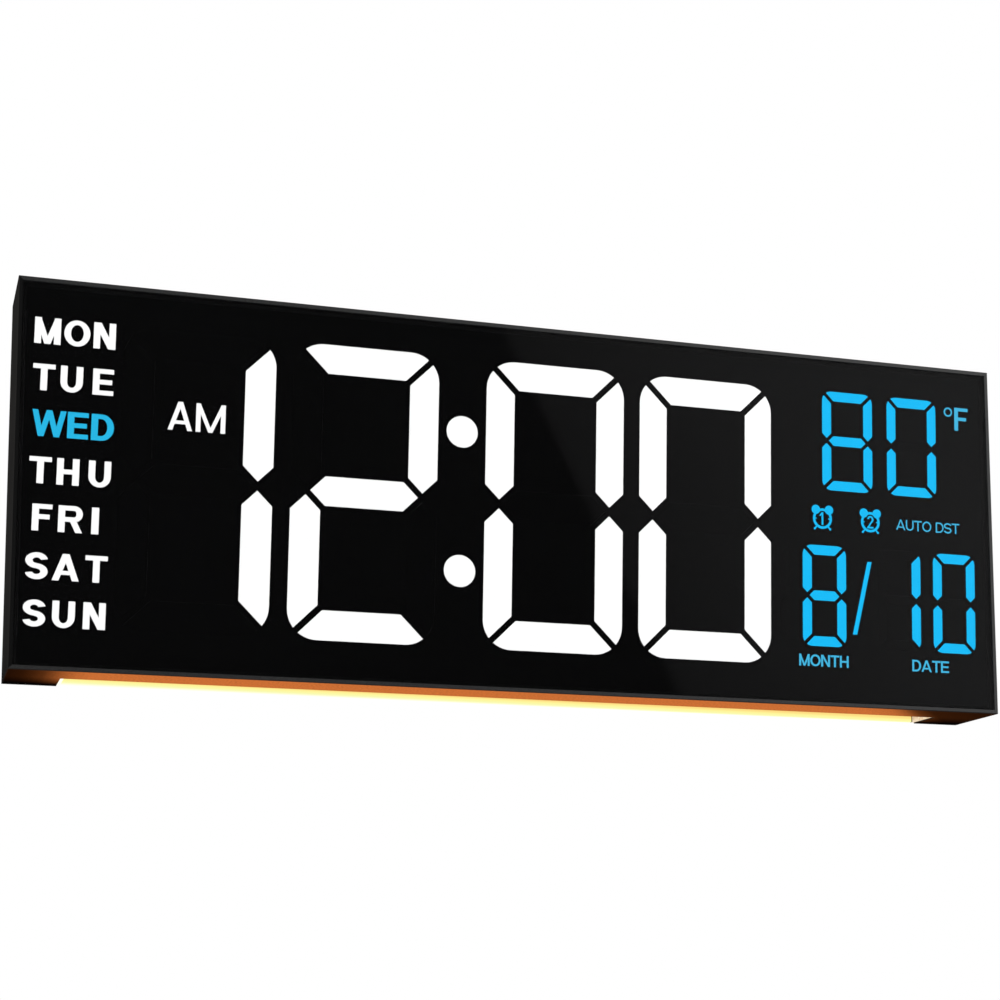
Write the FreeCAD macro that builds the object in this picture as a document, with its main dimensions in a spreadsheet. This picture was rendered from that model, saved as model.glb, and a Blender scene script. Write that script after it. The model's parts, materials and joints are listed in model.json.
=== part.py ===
"""Wall and table clock with a wide lit display for time, weekday, date and temperature.

Millimetres, +Z up. The front faces -Y and the width lies along X. The origin is the middle
of the footprint, on the surface that the clock stands on.
"""
import FreeCAD
import Part
import math
import os
import re
import Sketcher
from FreeCAD import Placement, Rotation, Vector

# Driving dimensions: each one can be changed by itself
SIZES = {
    # Case
    "case_depth": 37.5,
    "frame_depth": 18.0,
    "frame_wall": 1.65,
    "ledge_width": 1.5,
    "ledge_thickness": 1.2,
    "rim_chamfer": 0.3,
    "housing_wall": 2.0,
    "back_wall": 2.2,
    "tongue_depth": 2.0,
    "tongue_thickness": 1.4,
    "tongue_clearance": 0.15,
    # Front panel and the films behind it
    "panel_setback": 0.4,
    "panel_thickness": 2.0,
    "panel_clearance": 0.25,
    "tape_thickness": 0.3,
    "film_gap": 0.1,
    "film_thickness": 0.25,
    # Margins round the display, from the outside of the case
    "left_margin": 5.7,
    "right_margin": 8.4,
    "bottom_margin": 17.55,
    "top_margin": 15.15,
    # Weekday column
    "word_width": 31.3,
    "word_height": 10.8,
    "word_gap": 3.1,
    "word_cell_border": 0.45,
    # Time digits
    "digit_width": 59.9,
    "digit_height": 120.8,
    "digit_stroke": 12.0,
    "digit_gap": 2.75,
    "digit_corner": 12.0,
    "digit_space": 7.3,
    "colon_space": 20.4,
    "colon_diameter": 13.1,
    "colon_pitch": 58.0,
    "display_lean": 1.05,
    # Small digits: temperature, month and date
    "column_gap": 3.95,
    "date_digit_width": 20.3,
    "date_digit_height": 43.9,
    "date_stroke": 4.15,
    "date_gap": 1.7,
    "date_corner": 4.3,
    "date_digit_space": 6.25,
    "slash_space": 15.4,
    "slash_width": 1.95,
    "slash_height": 32.1,
    "slash_run": 7.1,
    "label_band": 8.7,
    "label_height": 7.0,
    "label_width": 24.0,
    "temperature_indent": 21.1,
    "temperature_rise": 0.4,
    "temperature_digit_width": 23.8,
    "temperature_digit_space": 7.2,
    "unit_offset": 10.3,
    "unit_size": 13.0,
    "icon_size": 12.0,
    "icon_pitch": 22.6,
    "status_pitch": 27.6,
    "status_width": 33.0,
    "half_day_width": 25.0,
    "half_day_height": 14.0,
    "half_day_drop": 4.9,
    # Light guide parts behind the panel
    "reflector_depth": 8.0,
    "reflector_border": 2.9,
    "reflector_clearance": 0.25,
    "segment_thickness": 2.0,
    "window_clearance": 0.1,
    "board_thickness": 1.6,
    "led_length": 3.4,
    "led_width": 2.8,
    "led_height": 1.9,
    "chip_length": 18.0,
    "chip_width": 7.5,
    "chip_height": 2.3,
    # Case screws
    "screw_radius": 1.5,
    "screw_length": 16.0,
    "screw_head_radius": 2.8,
    "screw_head_height": 2.0,
    "screw_cross_length": 3.2,
    "screw_cross_width": 0.8,
    "screw_cross_depth": 1.2,
    "screw_clearance": 0.2,
    "thread_clearance": 0.04,
    "tube_radius": 4.0,
    "counterbore_depth": 12.0,
    "low_screw_height": 8.0,
    "top_screw_drop": 7.5,
    "middle_screw_offset": 67.0,
    # Night light under the back edge
    "end_block_width": 21.0,
    "channel_height": 13.0,
    "sill_thickness": 2.0,
    "diffuser_wall": 1.5,
    "diffuser_clearance": 0.3,
    "diffuser_foot": 0.4,
    "diffuser_shelf": 7.6,
    "diffuser_end_wall": 1.2,
    "diffuser_slot": 0.6,
    "strip_thickness": 1.0,
    "strip_width": 12.0,
    "strip_end_gap": 3.0,
    "night_led_size": 5.0,
    "night_led_height": 1.6,
    "night_led_count": 18,
    # Legs that fold out of the back
    "leg_width": 13.6,
    "leg_side_gap": 0.4,
    "leg_thickness": 3.4,
    "leg_recess": 0.3,
    "leg_foot_height": 5.0,
    "leg_hinge_height": 118.0,
    "leg_opening": 25.0,
    "leg_end_gap": 0.5,
    "leg_channel_depth": 4.2,
    "leg_pin_radius": 1.1,
    "leg_pin_grip": 1.5,
    "running_clearance": 0.05,
    "nail_groove_width": 9.0,
    "nail_groove_height": 2.0,
    "nail_groove_depth": 1.0,
    "nail_groove_rise": 9.0,
    # Control board
    "control_x": 85.0,
    "control_z": 88.0,
    "control_width": 130.0,
    "control_height": 64.0,
    "control_post_height": 5.95,
    "control_post_inset": 4.0,
    "control_post_radius": 3.0,
    "board_screw_radius": 1.25,
    "board_screw_length": 6.0,
    "board_screw_head_radius": 2.4,
    "board_screw_head_height": 1.6,
    # Buttons and their switches
    "button_x": 78.0,
    "button_z": 108.0,
    "button_pitch": 14.0,
    "button_radius": 3.5,
    "button_clearance": 0.2,
    "button_flange_radius": 4.4,
    "button_flange_height": 1.0,
    "button_flange_gap": 0.15,
    "button_travel": 0.6,
    "button_recess": 1.0,
    "button_stand": 0.7,
    "button_field_border": 3.5,
    "switch_width": 6.0,
    "switch_height": 3.5,
    "plunger_radius": 1.7,
    "plunger_rise": 0.8,
    "plunger_bury": 1.1,
    # Coin cell, its holder and the turning cap over it
    "cell_x": 40.0,
    "cell_z": 80.0,
    "cell_radius": 10.0,
    "cell_thickness": 3.2,
    "holder_base": 0.4,
    "holder_wall": 1.5,
    "holder_rim": 2.6,
    "cap_radius": 13.0,
    "cap_thickness": 1.5,
    "cap_recess": 0.2,
    "cap_clearance": 0.2,
    "cap_neck_radius": 10.8,
    "cap_lug_reach": 1.7,
    "cap_lug_thickness": 1.2,
    "cap_lug_angle": 30.0,
    "cap_turn": 40.0,
    "cap_ring_radius": 16.0,
    "cap_ring_thickness": 1.45,
    "coin_slot_length": 15.0,
    "coin_slot_width": 1.8,
    "coin_slot_depth": 0.8,
    # Power inlet
    "jack_x": 170.0,
    "jack_z": 38.0,
    "jack_flange_radius": 5.5,
    "jack_flange_thickness": 1.1,
    "jack_barrel_radius": 4.0,
    "jack_barrel_length": 12.0,
    "jack_bore_radius": 2.85,
    "jack_bore_depth": 10.0,
    "jack_pin_radius": 1.0,
    "jack_pin_setback": 1.5,
    "jack_nut_size": 5.8,
    "jack_nut_height": 2.0,
    "jack_pad_radius": 8.0,
    "jack_pad_height": 1.6,
    "jack_terminal": 2.4,
    # Wall hanging
    "keyhole_x": 165.0,
    "keyhole_z": 124.0,
    "keyhole_head_radius": 4.5,
    "keyhole_slot_radius": 2.3,
    "keyhole_rise": 9.0,
    "keyhole_pocket_depth": 4.2,
    "keyhole_cup_wall": 1.3,
    # Openings in the back wall
    "vent_x": 100.0,
    "vent_z": 40.0,
    "vent_width": 1.6,
    "vent_height": 12.0,
    "vent_pitch": 4.2,
    "vent_count": 9,
    "sound_hole_radius": 0.8,
    "sound_ring_radius": 3.2,
    "sound_hole_count": 6,
    # Posts of the housing that press on the display board
    "post_radius": 3.5,
    "post_low_z": 45.0,
    "post_high_z": 110.0,
    "post_outer_x": 140.0,
    "post_inner_x": 20.0,
    "post_right_x": 166.0,
    "post_right_z": 100.0,
    # Parts on the boards
    "buzzer_x": 80.0,
    "buzzer_z": 79.0,
    "buzzer_radius": 6.0,
    "buzzer_gap": 0.2,
    "controller_size": 12.0,
    "controller_height": 1.6,
    "controller_offset": 22.0,
    "crystal_length": 11.0,
    "crystal_width": 4.5,
    "crystal_height": 3.4,
    "regulator_size": 6.6,
    "regulator_height": 2.3,
    "capacitor_radius": 4.0,
    "capacitor_length": 8.5,
    "sensor_radius": 1.4,
    "sensor_reach": 7.0,
    "sensor_lead": 0.5,
    "plug_width": 22.0,
    "plug_height": 5.0,
    "plug_depth": 4.6,
    "plug_step": 9.0,
    "ribbon_thickness": 0.8,
    "ribbon_border": 1.0,
    "lead_radius": 0.7,
    "lead_bend": 3.0,
    "lead_spacing": 0.9,
    "lead_hole_x": 160.0,
    "lead_rise": 11.0,
    "power_plug_x": 142.0,
    "power_plug_z": 70.0,
    "light_plug_x": 120.0,
    "light_plug_z": 60.0,
    "small_plug_width": 7.0,
}

# Places and sizes that follow from the driving dimensions
DERIVED = {
    # Depth, from the front to the back
    "front_y": "-case_depth / 2",
    "rear_y": "case_depth / 2",
    "seam_y": "front_y + frame_depth",
    "wall_y": "rear_y - back_wall",
    "panel_y": "front_y + panel_setback",
    "panel_back_y": "panel_y + panel_thickness",
    "ledge_y": "panel_back_y + tape_thickness",
    "ledge_back_y": "ledge_y + ledge_thickness",
    "film_y": "panel_back_y + film_gap",
    "film_back_y": "film_y + film_thickness",
    "reflector_back_y": "film_back_y + reflector_depth",
    "board_back_y": "reflector_back_y + board_thickness",
    "control_back_y": "wall_y - control_post_height",
    "control_y": "control_back_y - board_thickness",
    "plug_y": "control_y - plug_depth / 2",
    # Width, as the sum of what stands side by side on the display
    "digits_width": "4 * digit_width + 2 * digit_space + colon_space",
    "date_width": "date_stroke + 2 * date_digit_space + 3 * date_digit_width + slash_space",
    "half_width": "(left_margin + word_width + word_gap + digits_width"
                  " + column_gap + date_width + right_margin) / 2",
    "case_height": "bottom_margin + digit_height + top_margin",
    # Display columns, measured at half their height
    "word_x": "-half_width + left_margin + word_width / 2",
    "hour_tens_x": "word_x + word_width / 2 + word_gap + digit_width / 2",
    "hour_x": "hour_tens_x + digit_width + digit_space",
    "minute_tens_x": "hour_x + digit_width + colon_space",
    "minute_x": "minute_tens_x + digit_width + digit_space",
    "colon_x": "(hour_x + minute_tens_x) / 2",
    "column_x": "minute_x + digit_width / 2 + column_gap",
    "month_x": "column_x + date_stroke + date_digit_space + date_digit_width / 2",
    "month_tens_x": "month_x - date_digit_width - date_digit_space",
    "date_tens_x": "month_x + date_digit_width + slash_space",
    "date_x": "date_tens_x + date_digit_width + date_digit_space",
    "slash_x": "(month_x + date_tens_x) / 2",
    "temperature_tens_x": "column_x + temperature_indent + temperature_digit_width / 2",
    "temperature_x": "temperature_tens_x + temperature_digit_width + temperature_digit_space",
    # Display rows
    "digit_z": "bottom_margin + digit_height / 2",
    "month_z": "bottom_margin + label_band + date_digit_height / 2",
    "temperature_z": "bottom_margin + digit_height + temperature_rise - date_digit_height / 2",
    "icon_z": "(month_z + temperature_z) / 2",
    "reflector_low_z": "bottom_margin - reflector_border",
    "reflector_high_z": "bottom_margin + digit_height + reflector_border",
    "reflector_half_width": "half_width - frame_wall - ledge_width - reflector_clearance",
    # Case screws
    "leg_x": "half_width - end_block_width / 2",
    "top_screw_z": "case_height - top_screw_drop",
    "screw_seat_y": "rear_y - counterbore_depth",
    # Night light
    "channel_half": "half_width - end_block_width",
    "channel_roof_z": "channel_height + housing_wall",
    "diffuser_half": "channel_half - diffuser_clearance",
    "diffuser_front_y": "seam_y + diffuser_clearance",
    "diffuser_rear_y": "rear_y - diffuser_clearance / 2",
    "strip_z": "channel_height - strip_thickness",
    "strip_y": "(seam_y + rear_y) / 2",
    # Legs
    "leg_back_y": "rear_y - leg_recess",
    "leg_front_y": "leg_back_y - leg_thickness",
    "leg_pin_y": "leg_back_y - leg_thickness / 2",
    "leg_floor_y": "rear_y - leg_channel_depth",
    "leg_channel_half": "leg_width / 2 + leg_side_gap",
    "leg_pin_half": "leg_channel_half + leg_pin_grip",
    # Coin cell cap
    "cap_back_y": "rear_y - cap_recess",
    "cap_seat_y": "cap_back_y - cap_thickness",
    "cap_ring_y": "cap_seat_y - cap_ring_thickness",
    "cap_lug_y": "cap_ring_y - cap_lug_thickness - 0.5 * cap_clearance",
    # Buttons
    "button_field_y": "rear_y - button_recess",
    "button_back_y": "button_field_y + button_stand",
    "button_flange_y": "wall_y - button_flange_gap - button_flange_height",
    "switch_back_y": "control_back_y + switch_height",
    # Power inlet
    "jack_seat_y": "rear_y - jack_flange_thickness - cap_recess",
    "jack_pad_y": "wall_y - jack_pad_height",
    "jack_end_y": "jack_seat_y - jack_barrel_length",
    # Wall hanging
    "keyhole_pocket_y": "wall_y - keyhole_pocket_depth",
    "keyhole_cup_y": "keyhole_pocket_y - keyhole_cup_wall",
}

DOC = FreeCAD.newDocument("DayClock")
SHEET = DOC.addObject("Spreadsheet::Sheet", "Sizes")
LAYOUT = DOC.addObject("App::VarSet", "Layout")
NODES = []


def formula(text):
    """Write plain size names as references to the sheet and to the derived values."""
    def reference(match):
        word = match.group(0)
        if word in SIZES:
            return "Sizes." + word
        if word in DERIVED:
            return "Layout." + word
        return word
    return re.sub(r"[a-z_]+[a-z]", reference, str(text))


def number(text):
    """The present value of a formula in size names."""
    return float(LAYOUT.evalExpression(formula(text)))


def bind(item, **sizes):
    """Tie properties of an object to formulas in size names."""
    for name, text in sizes.items():
        item.setExpression(name, formula(text))


def fill_sheet():
    for row, (name, size) in enumerate(SIZES.items(), start=1):
        SHEET.set(f"A{row}", name)
        SHEET.set(f"B{row}", str(size))
        SHEET.setAlias(f"B{row}", name)
    DOC.recompute()
    for name, text in DERIVED.items():
        LAYOUT.addProperty("App::PropertyFloat", name, "Layout")
        LAYOUT.setExpression(name, formula(text))
    DOC.recompute()


def keep(item, label):
    """Name an object as a piece of the clock."""
    item.Label = label
    NODES.append(item)
    return item


# Solids made of primitives and booleans

def place(item, x, y, z, turn=Rotation()):
    item.Placement = Placement(Vector(), turn)
    item.setExpression("Placement.Base.x", formula(x))
    item.setExpression("Placement.Base.y", formula(y))
    item.setExpression("Placement.Base.z", formula(z))
    return item


def cuboid(x, y, z, length, width, height):
    """A box from its lowest corner; length, width and height lie along X, Y and Z."""
    item = DOC.addObject("Part::Box", "cuboid")
    bind(item, Length=length, Width=width, Height=height)
    return place(item, x, y, z)


def rod(x, y, z, radius, length):
    """A cylinder along +Y from the middle of its front face."""
    item = DOC.addObject("Part::Cylinder", "rod")
    bind(item, Radius=radius, Height=length)
    return place(item, x, y, z, Rotation(Vector(1, 0, 0), -90))


def cross_rod(x, y, z, radius, length):
    """A cylinder along +X from the middle of its left face."""
    item = DOC.addObject("Part::Cylinder", "cross_rod")
    bind(item, Radius=radius, Height=length)
    return place(item, x, y, z, Rotation(Vector(0, 1, 0), 90))


def joined(*items):
    union = DOC.addObject("Part::MultiFuse", "joined")
    union.Shapes = list(items)
    return union


def without(base, *tools):
    """The base less its tools."""
    for tool in tools:
        cut = DOC.addObject("Part::Cut", "without")
        cut.Base = base
        cut.Tool = tool
        base = cut
    return base


def group(*items):
    """Separate solids of one node."""
    bundle = DOC.addObject("Part::Compound", "group")
    bundle.Links = list(items)
    return bundle


# Bodies made of sketches and features

def new_body(label):
    return keep(DOC.addObject("PartDesign::Body", label), label)


def sketch_on(body, role, offset):
    """A sketch on one of the body's own planes, moved along the plane's normal."""
    sketch = body.newObject("Sketcher::SketchObject", "sketch")
    plane = next(feature for feature in body.Origin.OriginFeatures if feature.Role == role)
    sketch.AttachmentSupport = [(plane, "")]
    sketch.MapMode = "FlatFace"
    sketch.setExpression("AttachmentOffset.Base.z", formula(offset))
    return sketch


def facing(body, y):
    """A sketch seen from the front, at depth y; its normal points forward, along -Y."""
    return sketch_on(body, "XZ_Plane", f"-({y})")


def dimension(sketch, kind, place_on, text):
    index = sketch.addConstraint(Sketcher.Constraint(kind, *place_on, number(text)))
    sketch.setExpression(f"Constraints[{index}]", formula(text))


def outline(sketch, corners):
    """A closed polygon; every corner is dimensioned from the sketch's origin."""
    first = sketch.GeometryCount
    points = [Vector(number(across), number(up), 0) for across, up in corners]
    for start, end in zip(points, points[1:] + points[:1]):
        sketch.addGeometry(Part.LineSegment(start, end))
    for index in range(len(points)):
        after = (index + 1) % len(points)
        sketch.addConstraint(Sketcher.Constraint("Coincident", first + index, 2, first + after, 1))
    for index, (across, up) in enumerate(corners):
        dimension(sketch, "DistanceX", (-1, 1, first + index, 1), across)
        dimension(sketch, "DistanceY", (-1, 1, first + index, 1), up)


def rectangle(sketch, left, low, right, high):
    outline(sketch, [(left, low), (right, low), (right, high), (left, high)])


def circle(sketch, across, up, radius):
    middle = Vector(number(across), number(up), 0)
    index = sketch.addGeometry(Part.Circle(middle, Vector(0, 0, 1), number(radius)))
    dimension(sketch, "Radius", (index,), radius)
    dimension(sketch, "DistanceX", (-1, 1, index, 3), across)
    dimension(sketch, "DistanceY", (-1, 1, index, 3), up)


def pad(body, sketch, length):
    """Add material from the sketch along its normal."""
    feature = body.newObject("PartDesign::Pad", "pad")
    feature.Profile = sketch
    feature.Refine = False
    feature.setExpression("Length", formula(length))
    sketch.Visibility = False
    return feature


def pocket(body, sketch, length):
    """Cut from the sketch against its normal, and make sure that it cuts."""
    DOC.recompute()
    before = body.Shape.Volume
    feature = body.newObject("PartDesign::Pocket", "pocket")
    feature.Profile = sketch
    feature.Refine = False
    feature.setExpression("Length", formula(length))
    sketch.Visibility = False
    DOC.recompute()
    if body.Shape.Volume >= before:
        raise ValueError(f"a pocket of {body.Label} cuts nothing")
    return feature


SIDES = (-1, 1)


# Display artwork: outlines seen from the front, with arcs as (point on the arc, end)

def digit_outlines(width, height, stroke, gap, corner, grow):
    """Outlines of the seven segments about the digit's middle, keyed a to g as is usual."""
    half_width = width / 2 + grow
    half_height = height / 2 + grow
    stroke = stroke + 2 * grow
    offset = (gap - 2 * grow) / math.sqrt(2)
    corner = corner + grow
    inner = half_width - stroke
    middle = half_width - stroke / 2
    turn = math.acos(offset / (corner * math.sqrt(2)))
    up_angle = turn - math.pi / 4
    side_angle = math.pi / 2 - up_angle

    def on_corner(angle):
        return (half_width - corner + corner * math.cos(angle),
                half_height - corner + corner * math.sin(angle))

    right_upper = [
        ((inner, half_height - stroke - offset),),
        ((inner, stroke / 2 + offset),),
        ((middle, offset),),
        ((half_width, stroke / 2 + offset),),
        ((half_width, half_height - corner),),
        (on_corner(up_angle / 2), on_corner(up_angle)),
    ]
    top = [
        ((-(inner - offset), half_height - stroke),),
        ((inner - offset, half_height - stroke),),
        (on_corner(side_angle),),
        (on_corner((side_angle + math.pi / 2) / 2), (half_width - corner, half_height)),
        ((corner - half_width, half_height),),
    ]
    mirrored_end = on_corner(side_angle)
    mirrored_middle = on_corner((side_angle + math.pi / 2) / 2)
    top.append(((-mirrored_middle[0], mirrored_middle[1]), (-mirrored_end[0], mirrored_end[1])))
    bar_end = middle - offset
    bar = [
        ((-bar_end, 0),),
        ((-bar_end + stroke / 2, stroke / 2),),
        ((bar_end - stroke / 2, stroke / 2),),
        ((bar_end, 0),),
        ((bar_end - stroke / 2, -stroke / 2),),
        ((-bar_end + stroke / 2, -stroke / 2),),
    ]

    def flipped(steps, across, up):
        return [tuple((x * across, z * up) for x, z in step) for step in steps]

    return {
        "a": top,
        "b": right_upper,
        "c": flipped(right_upper, 1, -1),
        "d": flipped(top, 1, -1),
        "e": flipped(right_upper, -1, -1),
        "f": flipped(right_upper, -1, 1),
        "g": bar,
    }


def leaning(x_middle, z_middle, point):
    """A point of the artwork in its place, leaned like all of the display."""
    x, z = point
    return Vector(x_middle + x + z * math.tan(math.radians(number("display_lean"))), 0, z_middle + z)


def prism(x_middle, z_middle, steps, front, depth):
    """A solid with the outline of the steps, from depth front backwards."""
    edges = []
    start = leaning(x_middle, z_middle, steps[0][0])
    here = start
    for step in steps[1:]:
        points = [leaning(x_middle, z_middle, point) for point in step]
        if len(points) == 2:
            edges.append(Part.Arc(here, points[0], points[1]).toShape())
        else:
            edges.append(Part.makeLine(here, points[0]))
        here = points[-1]
    edges.append(Part.makeLine(here, start))
    solid = Part.Face(Part.Wire(edges)).extrude(Vector(0, depth, 0))
    solid.translate(Vector(0, front, 0))
    return solid


DIGITS = {
    # node: size family, height name, segments in use and x name of each digit
    "hour_tens_segments": ("digit", "digit_z", (("abcdefg", "hour_tens_x"),)),
    "hour_segments": ("digit", "digit_z", (("abcdefg", "hour_x"),)),
    "minute_tens_segments": ("digit", "digit_z", (("abcdefg", "minute_tens_x"),)),
    "minute_segments": ("digit", "digit_z", (("abcdefg", "minute_x"),)),
    "temperature_segments": ("temperature", "temperature_z",
                             (("abcdefg", "temperature_tens_x"), ("abcdefg", "temperature_x"))),
    "month_segments": ("date", "month_z", (("bc", "month_tens_x"), ("abcdefg", "month_x"))),
    "date_segments": ("date", "month_z", (("abcdefg", "date_tens_x"), ("abcdefg", "date_x"))),
}


def family_sizes(family):
    """Width, height, stroke, gap and corner radius of a family of digits."""
    small = "digit" if family == "digit" else "date"
    width = number(family + "_width") if family == "digit" else number(family + "_digit_width")
    height = number("digit_height") if family == "digit" else number("date_digit_height")
    return width, height, number(small + "_stroke"), number(small + "_gap"), number(small + "_corner")


def digit_solids(node, grow, front, depth):
    family, z_name, digits = DIGITS[node]
    shapes = digit_outlines(*family_sizes(family), grow)
    return [prism(number(x_name), number(z_name), shapes[letter], front, depth)
            for letters, x_name in digits for letter in letters]


def colon_places():
    """Middles of the two colon dots."""
    lean = math.tan(math.radians(number("display_lean")))
    rise = number("colon_pitch") / 2
    return [(number("colon_x") + side * rise * lean, number("digit_z") + side * rise) for side in SIDES]


def colon_solids(grow, front, depth):
    radius = number("colon_diameter") / 2 + grow
    return [Part.makeCylinder(radius, depth, Vector(x, front, z), Vector(0, 1, 0)) for x, z in colon_places()]


def slash_solid(grow, front, depth):
    half_width = number("slash_width") / 2 + grow
    half_height = number("slash_height") / 2 + grow
    half_run = number("slash_run") / 2
    steps = [
        ((-half_run - half_width, -half_height),),
        ((-half_run + half_width, -half_height),),
        ((half_run + half_width, half_height),),
        ((half_run - half_width, half_height),),
    ]
    return prism(number("slash_x"), number("month_z"), steps, front, depth)


def word_cells():
    """Light cells behind the printed words and icons: middle x, middle z, width, height."""
    lean = math.tan(math.radians(number("display_lean")))
    digit_z = number("digit_z")
    border = 2 * number("word_cell_border")
    rows = 7
    rise = (number("digit_height") - number("word_height")) / 2
    cells = []
    for row in range(rows):
        up = rise - row * 2 * rise / (rows - 1)
        width = number("word_width") + border
        cells.append((number("word_x") + up * lean, digit_z + up, width, number("word_height") + 3 * border))
    loop_z = (number("digit_height") - number("digit_stroke")) / 4
    for side in SIDES:
        up = side * (loop_z - number("half_day_drop"))
        place_x = number("hour_tens_x") + up * lean
        cells.append((place_x, digit_z + up, number("half_day_width"), number("half_day_height")))
    icon_z = number("icon_z")
    icon = number("icon_size")
    cells.append((number("month_x"), icon_z, icon, icon))
    cells.append((number("month_x + icon_pitch"), icon_z, icon, icon))
    status_x = number("month_x + icon_pitch + status_pitch")
    cells.append((status_x, icon_z, number("status_width"), number("label_height")))
    unit_x = number("temperature_x + temperature_digit_width / 2 + unit_offset")
    unit_size = number("unit_size")
    unit_z = number("temperature_z + (date_digit_height - unit_size) / 2")
    cells.append((unit_x, unit_z, unit_size, unit_size))
    label_z = number("bottom_margin + label_band / 2 - 1")
    label_height = number("label_height")
    cells.append((number("month_x"), label_z, number("label_width"), label_height))
    cells.append((number("(date_tens_x + date_x) / 2"), label_z, number("label_width"), label_height))
    slash_width = number("led_length") + border
    cells.append((number("slash_x"), number("month_z"), slash_width, number("led_width") + border))
    return cells


def shaped(label, solids):
    """A piece whose solids are worked out above."""
    item = DOC.addObject("Part::Feature", label)
    item.Shape = Part.makeCompound(solids)
    return item


def make_display():
    film_y = number("film_y")
    lens = number("segment_thickness")
    for node in DIGITS:
        keep(shaped(node, digit_solids(node, 0, film_y, lens)), node)
    keep(shaped("colon_dots", colon_solids(0, film_y, lens)), "colon_dots")
    keep(shaped("date_slash", [slash_solid(0, film_y, lens)]), "date_slash")

    clearance = number("window_clearance")
    depth = number("film_thickness + reflector_depth")
    windows = colon_solids(clearance, film_y, depth) + [slash_solid(clearance, film_y, depth)]
    for node in DIGITS:
        windows += digit_solids(node, clearance, film_y, depth)
    segment_windows = shaped("segment_windows", windows)
    cells = []
    for x, z, width, height in word_cells():
        corner = Vector(x - width / 2, number("film_back_y"), z - height / 2)
        cells.append(Part.makeBox(width, number("reflector_depth"), height, corner))
    cell_windows = shaped("cell_windows", cells)

    film = cuboid("-reflector_half_width", "film_y", "frame_wall + ledge_width + reflector_clearance",
                  "2 * reflector_half_width", "film_thickness",
                  "case_height - 2 * (frame_wall + ledge_width + reflector_clearance)")
    keep(without(film, segment_windows), "legend_film")
    block = cuboid("-reflector_half_width", "film_back_y", "reflector_low_z", "2 * reflector_half_width",
                   "reflector_depth", "reflector_high_z - reflector_low_z")
    keep(without(block, segment_windows, cell_windows), "reflector")

    board = new_body("display_board")
    face = facing(board, "board_back_y")
    rectangle(face, "-reflector_half_width", "reflector_low_z", "reflector_half_width", "reflector_high_z")
    pad(board, face, "board_thickness")
    make_display_leds()

    chips = [cuboid(f"{x} - chip_length / 2", "board_back_y", "digit_z - chip_width / 2",
                    "chip_length", "chip_height", "chip_width")
             for x in ("hour_tens_x", "hour_x", "minute_x")]
    keep(group(*chips), "driver_chips")


def make_display_leds():
    """Lamps on the display board, two in each large cell and one in each small cell."""
    places = colon_places()
    for node, (family, z_name, digits) in DIGITS.items():
        width, height, stroke, gap, corner = family_sizes(family)
        across = (width - stroke) / 2
        up = (height - stroke) / 2
        spread = across / 3 if family == "digit" else 0
        rows = {"a": (0, up), "b": (across, up / 2), "c": (across, -up / 2), "d": (0, -up),
                "e": (-across, -up / 2), "f": (-across, up / 2), "g": (0, 0)}
        for letters, x_name in digits:
            for letter in letters:
                x, z = rows[letter]
                level = letter in "adg"
                for step in sorted({-spread, spread}):
                    point = leaning(number(x_name), number(z_name),
                                    (x + step, z) if level else (x, z + step))
                    places.append((point.x, point.z))
    for x, z, width, height in word_cells():
        places.append((x, z))
    length = number("led_length")
    width = number("led_width")
    height = number("led_height")
    back = number("reflector_back_y")
    lamps = [Part.makeBox(length, height, width, Vector(x - length / 2, back - height, z - width / 2))
             for x, z in places]
    keep(shaped("display_leds", lamps), "display_leds")


# Case

def screw_places():
    """Case screws as x and z: two low in the end blocks, four along the top."""
    low = [(f"{side} * leg_x", "low_screw_height") for side in SIDES]
    top = [(f"{side} * {x}", "top_screw_z") for side in SIDES for x in ("leg_x", "middle_screw_offset")]
    return low + top


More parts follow.
